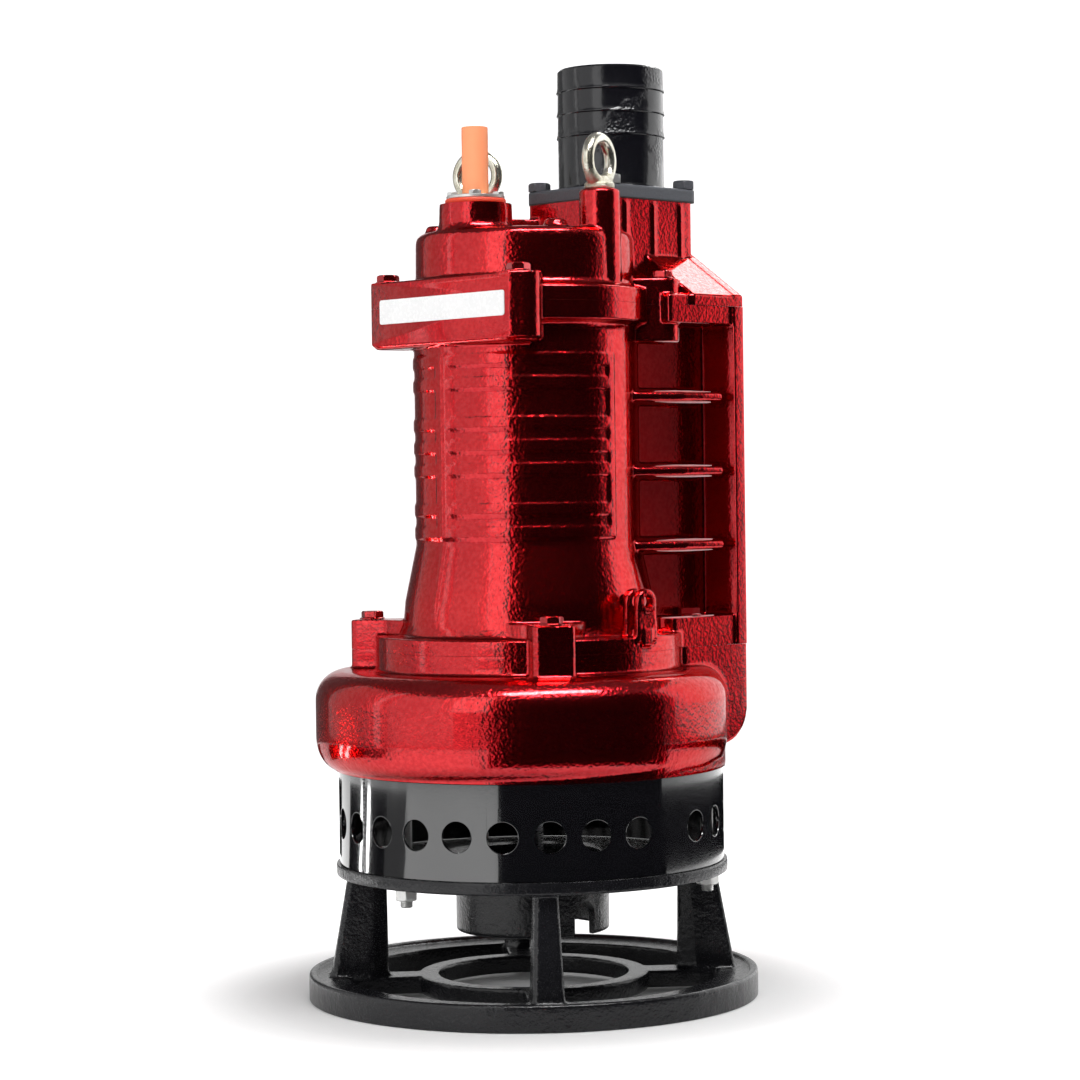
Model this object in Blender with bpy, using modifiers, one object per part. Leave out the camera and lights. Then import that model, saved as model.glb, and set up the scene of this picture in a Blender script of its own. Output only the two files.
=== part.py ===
"""Submersible slurry pump on a cast stand, with an agitator, a side discharge duct and a hose tail.

Lengths are in metres and angles in degrees, with +Z up. The origin is on the pump's axis at floor
level, and +X points from the axis to the discharge duct. Heights are stacked from the floor up.
"""
from math import atan2, cos, degrees, pi, radians, sin, sqrt

import bmesh
import bpy
from mathutils import Matrix, Vector

# Fits and cuts
GAP = 0.0003                   # left between faces that touch
OVERRUN = 0.004                # how far a cutter passes the face that it cuts
MERGE = 0.00002
FULL_TURN = 360.0
HALF_TURN = 180.0
QUARTER_TURN = 90.0

# Facets round a full turn
BIG_STEPS = 44
MIDDLE_STEPS = 28
SMALL_STEPS = 14
ROD_STEPS = 8
HOLE_STEPS = 8
ARC_STEPS = 3
LUG_ARC_STEPS = 2
HEX_SIDES = 6
SHARP_ANGLE = 35.0
EDGE_INSET = 0.0005            # keeps a blade's end off the face that it meets

# Stand: base ring, inner ring, spokes, legs and deck
BASE_RADIUS = 0.215
BASE_HEIGHT = 0.0247
BASE_RIM_WIDTH = 0.008
BASE_RIM_STEP = 0.004
BASE_WEB_WIDTH = 0.030
BASE_EDGE = 0.0015
INNER_RING_RADIUS = 0.110
INNER_RING_WIDTH = 0.019
INNER_RING_HEIGHT = 0.017
INNER_RING_LIFT = 0.004
SPOKE_WIDTH = 0.034
LEG_COUNT = 4
LEG_ANGLE = 51.4
LEG_HEIGHT = 0.097
LEG_FOOT_INSET = 0.022         # from the ring's edge
LEG_FOOT_DEPTH = 0.054
LEG_FOOT_WIDTH = 0.0297
LEG_HEAD_INSET = 0.0113        # from the deck's edge
LEG_HEAD_DEPTH = 0.036
LEG_HEAD_WIDTH = 0.0216
LEG_CORNER = 0.003
LEG_NOSE_SHARE = 0.40          # width of the leg's inner face against its full width
LEG_FLANK_SHARE = 0.70         # where the parallel flanks end, from the outer face inwards
DECK_RADIUS = 0.1873
DECK_THICKNESS = 0.0115
DECK_EDGE = 0.0015

# Suction skirt that hangs through the deck
SKIRT_RADIUS = 0.0735
SKIRT_WALL = 0.008
SKIRT_DROP = 0.0557            # below the deck's underside
SKIRT_EDGE = 0.003
SKIRT_FLANGE_WIDTH = 0.013
SKIRT_FLANGE_THICKNESS = 0.006
NOTCH_WIDTH = 0.026
NOTCH_HEIGHT = 0.032
NOTCH_STEPS = 6

# Studs that hold the stand to the pump
STUD_COUNT = 3
STUD_ANGLE = 64.4
STUD_INSET = 0.0173             # from the deck's edge
STUD_RADIUS = 0.006
STUD_DEPTH = 0.006             # into the volute casing
STUD_TAIL = 0.0065             # below the nut
NUT_FLATS = 0.019
NUT_HEIGHT = 0.010

# Strainer band
BAND_RADIUS = 0.1841
BAND_WALL = 0.003
BAND_HEIGHT = 0.0893
BAND_STEPS = 44
STRAINER_HOLES = 26
STRAINER_HOLE_RADIUS = 0.0143
STRAINER_HOLE_LIFT = 0.0408    # hole centres above the deck
STRAINER_GAP_ANGLE = 23.6      # wider land without a hole, centred on -Y
STRAINER_GAP_CENTRE = -88.7

# Volute casing
VOLUTE_HEIGHT = 0.0945         # band to the underside of its flange
VOLUTE_WALL = 0.010
VOLUTE_START_RADIUS = 0.1865
VOLUTE_END_RADIUS = 0.2135
VOLUTE_GROWTH_POWER = 0.8
VOLUTE_SHOULDER_HEIGHT = 0.028
VOLUTE_SHOULDER_WIDTH = 0.028
VOLUTE_BELLY_HEIGHT = 0.044
VOLUTE_BELLY_WIDTH = 0.030
VOLUTE_COLLAR_RADIUS = 0.1865
VOLUTE_ROOF = 0.018
VOLUTE_TOP_BORE = 0.125
VOLUTE_LEDGE_WIDTH = 0.005     # seat for the oil housing
VOLUTE_LEDGE_THICKNESS = 0.005
VOLUTE_BOTTOM_BORE = 0.105
VOLUTE_FLANGE_THICKNESS = 0.018
FLANGE_RADIUS = 0.147

# Discharge block, duct and back plate, as wide as each other
BLOCK_BACK = 0.177
BLOCK_HALF_WIDTH = 0.120
BLOCK_FRONT = 0.090
BLOCK_DROP = 0.0775            # below the volute's flange
BLOCK_ROUND = 0.036
VOLUTE_INSET = 0.002           # the spiral stays this far inside the block's back
PASSAGE_INNER = 0.1135
PASSAGE_OUTER = 0.157
PASSAGE_HALF_WIDTH = 0.066
PASSAGE_START = 0.054          # depth of the passage below the volute's joint face
DUCT_HALF_WIDTH = 0.078
DUCT_FRONT = 0.060
DUCT_BACK = 0.163
DUCT_WALL = 0.012
DUCT_SPLIT = 0.1098            # plane where the duct's half of the housing begins
DUCT_PLATE_FRONT = 0.078
TOP_PLATE_INSET = 0.003
PAD_PROUD = 0.004
PAD_MARGIN_LOW = 0.020
PAD_MARGIN_HIGH = 0.040
PAD_HALF_WIDTH = 0.104
DUCT_TOP_THICKNESS = 0.017
RIB_COUNT = 3
RIB_PITCH = 0.071
RIB_FIRST = 0.097              # lowest rib above the housing's joint face
RIB_ROOT = 0.017
RIB_EDGE = 0.005
RIB_STATIONS = (0.050, 0.100, 0.148, 0.158)
RIB_REACHES = (0.098, 0.115, 0.118, 0.100)     # distance of the outer edge from the XZ plane
RIB_THICKNESS_SHARES = (1.0, 1.0, 0.9, 0.5)

# Lower flange lugs and bolts
LOWER_LUG_ANGLES = (-125.0, -35.5, 35.5, 125.0)
LOWER_LUG_REACH = 0.173
LOWER_LUG_HALF_WIDTH = 0.020
LOWER_LUG_SHOULDER = 0.137
LOWER_LUG_ROOT = 0.104
LOWER_LUG_ROOT_HALF_WIDTH = 0.044
LOWER_LUG_HEIGHT = 0.0285
LOWER_BOLT_CIRCLE = 0.1555
LUG_CORNER = 0.006

# Bolts and screws
BOLT_RADIUS = 0.006
BOLT_FLATS = 0.019
BOLT_HEAD = 0.0078
BOLT_DEPTH = 0.014             # of thread below the joint face
SCREW_RADIUS = 0.003
SCREW_FLATS = 0.010
SCREW_HEAD = 0.004

# Motor housing
HOUSING_HEIGHT = 0.326
HOUSING_BORE = 0.099
BARREL_RADIUS = 0.1071
BAND_PROUD = 0.0012            # raised panel round the barrel
PANEL_LIFT = 0.1062            # panel's lower edge above the housing's joint face
PANEL_FACETS = 24              # of the barrel, in line with its own
POCKET_START_ANGLE = 87.4
POCKET_END_ANGLE = 175.3
POCKET_DEPTH = 0.0018
POCKET_LAND = 0.01155
POCKET_HEIGHTS = (0.010, 0.0257, 0.010, 0.010, 0.0257, 0.010)
HOUSING_RING_HEIGHT = 0.014
FLARE_RADIUS = 0.1184
FLARE_HEIGHT = 0.047
FLARE_FOOT_RADIUS = 0.1235
TOP_FLANGE_RADIUS = 0.118
TOP_FLANGE_THICKNESS = 0.017
TOP_FILLET = 0.006

# Upper lugs, bolts and the front block between two of the lugs
UPPER_LUG_ANGLES = (-135.0, -45.0, 45.0, 135.0)
UPPER_LUG_REACH = 0.147
UPPER_LUG_HALF_WIDTH = 0.020
UPPER_LUG_ROOT = 0.085
UPPER_LUG_DROP = 0.035         # below the cover's joint face
UPPER_LUG_RISE = 0.025         # above it
UPPER_BOLT_CIRCLE = 0.131
UPPER_BOLT_DEPTH = 0.026
FRONT_BLOCK_FACE = 0.110
FRONT_BLOCK_HALF_WIDTH = 0.101
FRONT_BLOCK_ROOT = 0.080
FRONT_BLOCK_CORNER = 0.010

# Clevis low on the housing
CLEVIS_X = 0.012
CLEVIS_WIDTH = 0.024
CLEVIS_EAR = 0.007
CLEVIS_HEIGHT = 0.045
CLEVIS_HOLE_RADIUS = 0.0062
CLEVIS_NEAR = 0.131            # distance of the ears' middles from the XZ plane
CLEVIS_PITCH = 0.0145

# Top cover
COVER_FLANGE = 0.016
COVER_HEIGHT = 0.0705
COVER_RADIUS = 0.104
COVER_EDGE = 0.006
COVER_ROOF = 0.010
COVER_BORE = 0.092
COVER_CORNER_HEIGHT = 0.010    # flange over the duct's corners
BOX_FRONT = 0.058
BOX_HALF_WIDTH = 0.058
BOX_HEIGHT = 0.105
BOX_BACK = 0.173
GUSSET_RISE = 0.054
GUSSET_THICKNESS = 0.014
COVER_PASSAGE_HALF_WIDTH = 0.044
THROAT_RISE = 0.074            # where the flat passage meets the round one

# Cable gland
GLAND_X = -0.0615
GLAND_BOSS_RADIUS = 0.0345
GLAND_BOSS_HEIGHT = 0.0245
RUBBER_RADIUS = 0.0285
RUBBER_THICKNESS = 0.0045
GLAND_PLATE_RADIUS = 0.0275
GLAND_PLATE_THICKNESS = 0.003
GLAND_BOLT_COUNT = 4
GLAND_BOLT_CIRCLE = 0.0215
GLAND_BOLT_ANGLE = -132.6
GLAND_BOLT_DEPTH = 0.014
CABLE_RADIUS = 0.0125
CABLE_TOP = 0.073              # above the boss
CABLE_TAIL = 0.045             # below the top of the boss

# Eye bolts on their bosses
EYE_X = 0.018
EYE_Y = 0.086
EYE_BOSS_RADIUS = 0.0193
EYE_BOSS_TOP = 0.107           # above the cover's joint face
EYE_RING_RADIUS = 0.021
EYE_WIRE_RADIUS = 0.006
EYE_COLLAR_RADIUS = 0.0135
EYE_COLLAR_HEIGHT = 0.007
EYE_NECK_RADIUS = 0.009
EYE_SINK = 0.001               # how far the ring's foot sinks into the collar
EYE_SHANK_RADIUS = 0.006
EYE_SHANK_LENGTH = 0.018
EYE_TURNS = (-73.6, -158.6)    # direction of each ring's axis, right eye then left eye
EYE_RING_STEPS = 16
EYE_WIRE_STEPS = 6

# Low bosses on the cover's top
PLUG_BOSS_RADIUS = 0.010
PLUG_BOSS_HEIGHT = 0.007
PLUG_BOSS_CIRCLE = 0.084
PLUG_BOSS_ANGLES = (147.0, -112.0)

# Hose tail
TAIL_X = 0.1175
TAIL_FLANGE_HALF = 0.060
TAIL_FLANGE_THICKNESS = 0.012
TAIL_FLANGE_CORNER = 0.008
TAIL_BOLT_HALF = 0.050
TAIL_BOLT_DEPTH = 0.018
TAIL_GASKET = 0.0015
TAIL_RADIUS = 0.0518
TAIL_BARB_RADIUS = 0.0533
TAIL_BORE = 0.0455
TAIL_STRAIGHT = 0.0510         # flange to the lowest barb
TAIL_BARB_PITCH = 0.0223
TAIL_BARBS = 3
TAIL_LIP = 0.0225
TAIL_EDGE = 0.0015
BARB_UNDERCUT = 0.0008
TAIL_BOLT_FLATS = 0.019
TAIL_BOLT_HEAD = 0.0085

# Suction cover and wear parts
SUCTION_FLANGE_RADIUS = 0.125
SUCTION_FLANGE_THICKNESS = 0.012
SUCTION_EYE_RADIUS = 0.050
SUCTION_MOUTH_RADIUS = 0.062

# Impeller, agitator and shaft
IMPELLER_RADIUS = 0.102
IMPELLER_SHROUD = 0.008
IMPELLER_HUB_RADIUS = 0.026
IMPELLER_VANES = 4
IMPELLER_VANE_THICKNESS = 0.008
IMPELLER_VANE_SWEEP = 70.0
VANE_STEPS = 5
RUNNING_CLEARANCE = 0.002
AGITATOR_RADIUS = 0.056
AGITATOR_HUB_RADIUS = 0.020
AGITATOR_HEIGHT = 0.040
AGITATOR_LIFT = 0.012          # above the skirt's mouth
AGITATOR_BLADES = 3
AGITATOR_BLADE_THICKNESS = 0.007
AGITATOR_TWIST = 34.0
AGITATOR_BLADE_SHARE = 0.85    # of the hub's height, so that the twisted blade stays within it
SHAFT_END_RADIUS = 0.011
SHAFT_WET_RADIUS = 0.014
SHAFT_SEAL_RADIUS = 0.0160
SHAFT_BEARING_RADIUS = 0.0175
SHAFT_CORE_RADIUS = 0.021
SHAFT_TOP_RADIUS = 0.0125
SHAFT_TOP_LAND = 0.004
SHAFT_LAND = 0.003
IMPELLER_NUT_RADIUS = 0.022
IMPELLER_NUT_HEIGHT = 0.014

# Oil chamber, seals, bearings and their brackets
OIL_NECK_HEIGHT = 0.030        # above the housing's joint face
OIL_WALL = 0.009
SEAL_RADIUS = 0.0257
SEAL_SEAT_RISE = 0.003         # above the oil chamber's floor
SEAL_RECESS = 0.001
SEAL_CLEARANCE = 0.0012
SEAL_RING_HEIGHT = 0.010
BRACKET_HEIGHT = 0.034
BRACKET_FLOOR = 0.010
LOWER_BEARING_RADIUS = 0.040
LOWER_BEARING_HEIGHT = 0.021
UPPER_BEARING_RADIUS = 0.031
UPPER_BEARING_HEIGHT = 0.017
RACE_SHARE = 0.30              # thickness of a race against the bearing's section
CAGE_SHARE = 0.40              # half width of the cage against the ball's radius
BALL_COUNT = 7
UPPER_BRACKET_THICKNESS = 0.024
UPPER_BRACKET_FLOOR = 0.004

# Motor core
STACK_LENGTH = 0.150
STACK_LIFT = 0.036             # lower bracket to the stack
STATOR_BORE = 0.058
AIR_GAP = 0.0008
WINDING_INNER = 0.064
WINDING_OUTER = 0.091
WINDING_HEIGHT = 0.028

# Colours, roughness and metallic
RED = (0.36, 0.018, 0.022)
BLACK = (0.012, 0.012, 0.014)
GREY_BLACK = (0.045, 0.048, 0.058)
ZINC = (0.62, 0.58, 0.46)
STEEL = (0.50, 0.50, 0.51)
ORANGE = (0.90, 0.28, 0.07)
SIGNAL_RED = (0.62, 0.06, 0.015)
COPPER = (0.60, 0.24, 0.10)
IRON = (0.10, 0.10, 0.10)
FINISHES = {
    "red_gloss_paint": (RED, 0.28, 0.0),
    "satin_black_casting": (BLACK, 0.45, 0.0),
    "gloss_black_enamel": (BLACK, 0.12, 0.0),
    "grey_black_coating": (GREY_BLACK, 0.5, 0.0),
    "yellow_zinc": (ZINC, 0.35, 1.0),
    "bright_zinc": (STEEL, 0.38, 1.0),
    "machined_steel": (STEEL, 0.3, 1.0),
    "cast_iron": (IRON, 0.65, 0.6),
    "orange_cable_jacket": (ORANGE, 0.5, 0.0),
    "red_rubber": (SIGNAL_RED, 0.6, 0.0),
    "black_rubber": (BLACK, 0.7, 0.0),
    "copper_winding": (COPPER, 0.4, 0.8),
    "hard_carbide": (GREY_BLACK, 0.2, 0.3),
}
ASSEMBLY = "slurry_pump"

# Heights, stacked from the floor
BASE_WEB_TOP = BASE_HEIGHT - BASE_RIM_STEP
DECK_BOTTOM = BASE_WEB_TOP + LEG_HEIGHT
DECK_TOP = DECK_BOTTOM + DECK_THICKNESS
VOLUTE_BOTTOM = DECK_TOP + BAND_HEIGHT
VOLUTE_TOP = VOLUTE_BOTTOM + VOLUTE_HEIGHT
LOWER_JOINT = VOLUTE_TOP + VOLUTE_FLANGE_THICKNESS
UPPER_JOINT = LOWER_JOINT + HOUSING_HEIGHT
COVER_TOP = UPPER_JOINT + COVER_HEIGHT
GLAND_TOP = COVER_TOP + GLAND_BOSS_HEIGHT
BOX_TOP = UPPER_JOINT + BOX_HEIGHT
TAIL_BOTTOM = BOX_TOP + TAIL_GASKET
CAVITY_BOTTOM = VOLUTE_BOTTOM + VOLUTE_WALL
CAVITY_TOP = VOLUTE_TOP - VOLUTE_ROOF
LEDGE_TOP = CAVITY_TOP + VOLUTE_LEDGE_THICKNESS
SKIRT_BOTTOM = DECK_BOTTOM - SKIRT_DROP
BRACKET_BOTTOM = LOWER_JOINT + OIL_NECK_HEIGHT + GAP
BRACKET_TOP = BRACKET_BOTTOM + BRACKET_HEIGHT
STACK_BOTTOM = BRACKET_TOP + STACK_LIFT
STACK_TOP = STACK_BOTTOM + STACK_LENGTH
UPPER_BRACKET_BOTTOM = UPPER_JOINT - UPPER_BRACKET_THICKNESS
AGITATOR_BOTTOM = SKIRT_BOTTOM + AGITATOR_LIFT
AGITATOR_TOP = AGITATOR_BOTTOM + AGITATOR_HEIGHT
IMPELLER_TOP = CAVITY_TOP - RUNNING_CLEARANCE
HUB_BOTTOM = CAVITY_BOTTOM
NUT_BOTTOM = HUB_BOTTOM - IMPELLER_NUT_HEIGHT
OIL_FLOOR = CAVITY_TOP + OIL_WALL
PANEL_BOTTOM_HEIGHT = LOWER_JOINT + PANEL_LIFT


# General helpers

def clear_scene():
    for thing in list(bpy.data.objects):
        bpy.data.objects.remove(thing, do_unlink=True)


def make_collection(name):
    group = bpy.data.collections.new(name)
    bpy.context.scene.collection.children.link(group)
    return group


def make_finish(name):
    colour, roughness, metallic = FINISHES[name]
    finish = bpy.data.materials.get(name) or bpy.data.materials.new(name)
    finish.use_nodes = True
    shader = finish.node_tree.nodes["Principled BSDF"]
    shader.inputs["Base Color"].default_value = (*colour, 1.0)
    shader.inputs["Roughness"].default_value = roughness
    shader.inputs["Metallic"].default_value = metallic
    finish.diffuse_color = (*colour, 1.0)
    return finish


def place(name, data):
    thing = bpy.data.objects.new(name, data)
    PARTS.objects.link(thing)
    return thing


def finished(thing, finish):
    thing.data.materials.clear()
    thing.data.materials.append(make_finish(finish))
    thing.data.shade_smooth()
    thing.data.set_sharp_from_angle(angle=radians(SHARP_ANGLE))
    return thing


def hidden(thing):
    """Keeps a cutter or an operand out of the assembly."""
    for group in thing.users_collection:
        group.objects.unlink(thing)
    CUTTERS.objects.link(thing)
    thing.hide_render = True
    thing.display_type = "WIRE"
    return thing


def combine(thing, other, operation, solver="EXACT"):
    step = thing.modifiers.new(other.name, "BOOLEAN")
    step.operation = operation
    step.solver = solver
    step.object = hidden(other)
    return thing


def joined(thing, *others):
    for other in others:
        combine(thing, other, "UNION")
    return thing


def cut(thing, *others, solver="EXACT"):
    for other in others:
        combine(thing, other, "DIFFERENCE", solver)
    return thing


def flat_radius(across_flats):
    """Corner radius of a hexagon."""
    return across_flats / sqrt(3)


def bore_radius(radius, steps):
    """Radius of a faceted bore that clears a round piece by the gap, facets and all."""
    return (radius + GAP) / cos(pi / steps)


def matched_bore(radius, steps):
    """Radius of a faceted bore whose facets lie in line with those of the piece in it."""
    return radius + GAP / cos(pi / steps)


def inside(bore, steps):
    """Radius of a round piece that fits a faceted bore with the gap to spare."""
    return bore * cos(pi / steps) - GAP


def polar(radius, angle):
    return radius * cos(radians(angle)), radius * sin(radians(angle))


def circle(radius, steps, centre=(0.0, 0.0)):
    turn = FULL_TURN / steps
    corners = [polar(radius, turn * index) for index in range(steps)]
    return [(centre[0] + x, centre[1] + y) for x, y in corners]


def rounded(corners, radius, steps=ARC_STEPS):
    """A closed outline with an arc of one radius at each corner."""
    outline = []
    for index, corner in enumerate(corners):
        here = Vector(corner)
        back = (Vector(corners[index - 1]) - here).normalized()
        ahead = (Vector(corners[(index + 1) % len(corners)]) - here).normalized()
        half = back.angle(ahead) / 2
        middle = (back + ahead).normalized()
        centre = here + middle * (radius / sin(half))
        first = here + back * (radius * cos(half) / sin(half)) - centre
        last = here + ahead * (radius * cos(half) / sin(half)) - centre
        start = atan2(first.y, first.x)
        sweep = (atan2(last.y, last.x) - start + pi) % (pi * 2) - pi
        for step in range(steps + 1):
            angle = start + sweep * step / steps
            outline.append((centre.x + radius * cos(angle), centre.y + radius * sin(angle)))
    return outline


def ring_section(inner, outer, bottom, top):
    """A rectangular section, from the top of the outer side round to the inner side."""
    return [(outer, top), (outer, bottom), (inner, bottom), (inner, top)]


def turned(name, profile, steps, closed=True, centre=(0.0, 0.0)):
    """A profile of (radius, height) points swept round a vertical axis."""
    mesh = bpy.data.meshes.new(name)
    edges = [(index, index + 1) for index in range(len(profile) - 1)]
    if closed:
        edges.append((len(profile) - 1, 0))
    mesh.from_pydata([(radius, 0.0, height) for radius, height in profile], edges, [])
    thing = place(name, mesh)
    thing.location = (*centre, 0.0)
    screw = thing.modifiers.new("Turn", "SCREW")
    screw.steps = steps
    screw.render_steps = steps
    screw.use_merge_vertices = True
    screw.merge_threshold = MERGE
    return thing


def plain_mesh(thing):
    """The thing as a mesh without modifiers, with its loose seams welded."""
    graph = bpy.context.evaluated_depsgraph_get()
    mesh = bpy.data.meshes.new_from_object(thing.evaluated_get(graph))
    work = bmesh.new()
    work.from_mesh(mesh)
    bmesh.ops.remove_doubles(work, verts=work.verts, dist=MERGE)
    work.to_mesh(mesh)
    work.free()
    name = thing.name
    matrix = thing.matrix_world.copy()
    bpy.data.objects.remove(thing, do_unlink=True)
    fresh = place(name, mesh)
    fresh.matrix_world = matrix
    return fresh


LYING = Matrix.Identity(4)
FACING_Y = Matrix.Rotation(radians(QUARTER_TURN), 4, "X")
FACING_X = Matrix.Rotation(radians(QUARTER_TURN), 4, "Z") @ FACING_Y


def plate(name, outlines, thickness, middle=(0.0, 0.0, 0.0), turn=LYING):
    """Flat outlines, the outer one and then its holes, thickened about their own plane."""
    curve = bpy.data.curves.new(name, "CURVE")
    curve.dimensions = "2D"
    curve.fill_mode = "BOTH"
    curve.extrude = thickness / 2
    for outline in outlines:
        spline = curve.splines.new("POLY")
        spline.points.add(len(outline) - 1)
        for point, corner in zip(spline.points, outline):
            point.co = (*corner, 0.0, 1.0)
        spline.use_cyclic_u = True
    thing = place(name, curve)
    thing.matrix_world = Matrix.Translation(middle) @ turn
    return plain_mesh(thing)


def slab(name, outlines, bottom, top):
    """A plate whose two faces lie exactly at the heights given."""
    thing = plate(name, outlines, top - bottom)
    for corner in thing.data.vertices:
        corner.co.z = top if corner.co.z > 0.0 else bottom
    return thing


def mesh_thing(name, work):
    mesh = bpy.data.meshes.new(name)
    bmesh.ops.recalc_face_normals(work, faces=work.faces)
    work.to_mesh(mesh)
    work.free()
    return place(name, mesh)


def box(name, low, high):
    work = bmesh.new()
    bmesh.ops.create_cube(work, size=1.0)
    for corner in work.verts:
        corner.co = [far if side > 0.0 else near for near, far, side in zip(low, high, corner.co)]
    return mesh_thing(name, work)


def add_rod(work, radius, bottom, top, centre, steps):
    made = bmesh.ops.create_cone(
        work, cap_ends=True, segments=steps, radius1=radius, radius2=radius, depth=top - bottom)
    bmesh.ops.translate(work, vec=(*centre, (top + bottom) / 2), verts=made["verts"])
    return made["verts"]


def rods(name, radius, bottom, top, centres, steps=ROD_STEPS):
    """Upright round bars, each a solid of its own."""
    work = bmesh.new()
    for centre in centres:
        add_rod(work, radius, bottom, top, centre, steps)
    return mesh_thing(name, work)


def add_loft(work, rings, closed=False):
    """Skins rings of equally many points, and caps the ends of an open run."""
    rows = [[work.verts.new(point) for point in ring] for ring in rings]
    count = len(rows[0])
    pairs = list(zip(rows, rows[1:]))
    if closed:
        pairs.append((rows[-1], rows[0]))
    for near, far in pairs:
        for index in range(count):
            after = (index + 1) % count
            work.faces.new((near[index], near[after], far[after], far[index]))
    if not closed:
        work.faces.new(rows[0])
        work.faces.new(rows[-1])


def loft(name, rings, closed=False):
    work = bmesh.new()
    add_loft(work, rings, closed)
    return mesh_thing(name, work)


def hex_bolt(name, seat, flats, head, radius, depth):
    """A bolt as one solid: a round shank below its seat and a chamfered hexagon above."""
    corner = flat_radius(flats)
    chamfer = corner - flats / 2
    stations = [(radius, seat - depth), (radius, seat), (corner, seat),
                (corner, seat + head - chamfer), (flats / 2, seat + head)]
    return loft(name, [[(x, y, height) for x, y in circle(station, HEX_SIDES)]
                       for station, height in stations])


def on_facet(radius, angle):
    """Distance from the axis to the facets of a big round piece, at any angle."""
    facet = FULL_TURN / BIG_STEPS
    return radius * cos(pi / BIG_STEPS) / cos(radians(angle % facet - facet / 2))


def turned_section(profile, angle):
    """A profile of (radius, height) points stood up at one angle round the axis."""
    return [(*polar(radius, angle), height) for radius, height in profile]


def sector(name, profile, start, end, steps):
    """A profile swept through part of a turn, with capped ends."""
    turn = (end - start) / steps
    return loft(name, [turned_section(profile, start + turn * index) for index in range(steps + 1)])


# Copies of a repeated piece

def copies(name, thing, centres, turns=None):
    """One object for each place, all sharing the first one's mesh."""
    made = []
    for index, centre in enumerate(centres):
        copy = thing if index == 0 else place(name, thing.data)
        copy.name = "%s_%d" % (name, index + 1)
        copy.location = (*centre, 0.0)
        if turns:
            copy.rotation_euler.z = radians(turns[index])
        made.append(copy)
    return made


# Stand

def leg_angles():
    return [LEG_ANGLE + FULL_TURN / LEG_COUNT * index for index in range(LEG_COUNT)]


def make_stand_base():
    web_outer = BASE_RADIUS - BASE_RIM_WIDTH
    web_inner = web_outer - BASE_WEB_WIDTH
    base = turned("stand_base", [
        (BASE_RADIUS - BASE_EDGE, BASE_HEIGHT), (BASE_RADIUS, BASE_HEIGHT - BASE_EDGE),
        (BASE_RADIUS, 0.0), (web_inner, 0.0), (web_inner, BASE_WEB_TOP),
        (web_outer, BASE_WEB_TOP), (web_outer, BASE_HEIGHT)], BIG_STEPS)
    work = bmesh.new()
    inner_end = INNER_RING_RADIUS - INNER_RING_WIDTH / 2
    outer_end = web_inner + BASE_WEB_WIDTH / 2
    for angle in leg_angles():
        made = bmesh.ops.create_cube(work, size=1.0)["verts"]
        size = (outer_end - inner_end, SPOKE_WIDTH, BASE_WEB_TOP - INNER_RING_LIFT)
        bmesh.ops.scale(work, vec=size, verts=made)
        middle = ((outer_end + inner_end) / 2, 0.0, (BASE_WEB_TOP + INNER_RING_LIFT) / 2)
        bmesh.ops.translate(work, vec=middle, verts=made)
        bmesh.ops.rotate(work, verts=made, matrix=Matrix.Rotation(radians(angle), 3, "Z"))
    spokes = mesh_thing("spokes", work)
    inner = turned("inner_ring", ring_section(
        INNER_RING_RADIUS - INNER_RING_WIDTH, INNER_RING_RADIUS,
        INNER_RING_LIFT, INNER_RING_LIFT + INNER_RING_HEIGHT), MIDDLE_STEPS)
    return finished(joined(base, spokes, inner), "satin_black_casting")


def leg_section(outer, depth, width, height):
    """The leg's section: parallel flanks outside, drawn in to a narrow face inside."""
    inner = outer - depth
    flank = outer - depth * LEG_FLANK_SHARE
    half = width / 2
    half_section = [(outer, half - LEG_CORNER), (outer - LEG_CORNER, half),
                    (flank, half), (inner, half * LEG_NOSE_SHARE)]
    section = half_section + [(radius, -side) for radius, side in reversed(half_section)]
    return [(radius, side, height) for radius, side in section]


def make_stand_legs():
    leg = loft("stand_leg", [
        leg_section(BASE_RADIUS - LEG_FOOT_INSET, LEG_FOOT_DEPTH, LEG_FOOT_WIDTH, BASE_WEB_TOP + GAP),
        leg_section(DECK_RADIUS - LEG_HEAD_INSET, LEG_HEAD_DEPTH, LEG_HEAD_WIDTH, DECK_BOTTOM - GAP)])
    finished(leg, "satin_black_casting")
    return copies("stand_leg", leg, [(0.0, 0.0)] * LEG_COUNT, leg_angles())


def stud_places():
    return [polar(DECK_RADIUS - STUD_INSET, STUD_ANGLE + FULL_TURN / STUD_COUNT * index)
            for index in range(STUD_COUNT)]


def make_stand_deck():
    deck = turned("stand_deck", [
        (DECK_RADIUS - DECK_EDGE, DECK_TOP), (DECK_RADIUS, DECK_TOP - DECK_EDGE),
        (DECK_RADIUS, DECK_BOTTOM), (bore_radius(SKIRT_RADIUS, BIG_STEPS), DECK_BOTTOM),
        (bore_radius(SKIRT_RADIUS, BIG_STEPS), DECK_TOP)], BIG_STEPS)
    holes = rods("deck_stud_holes", bore_radius(STUD_RADIUS, HOLE_STEPS), DECK_BOTTOM - OVERRUN,
                 DECK_TOP + OVERRUN, stud_places(), HOLE_STEPS)
    return finished(cut(deck, holes), "satin_black_casting")


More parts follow.
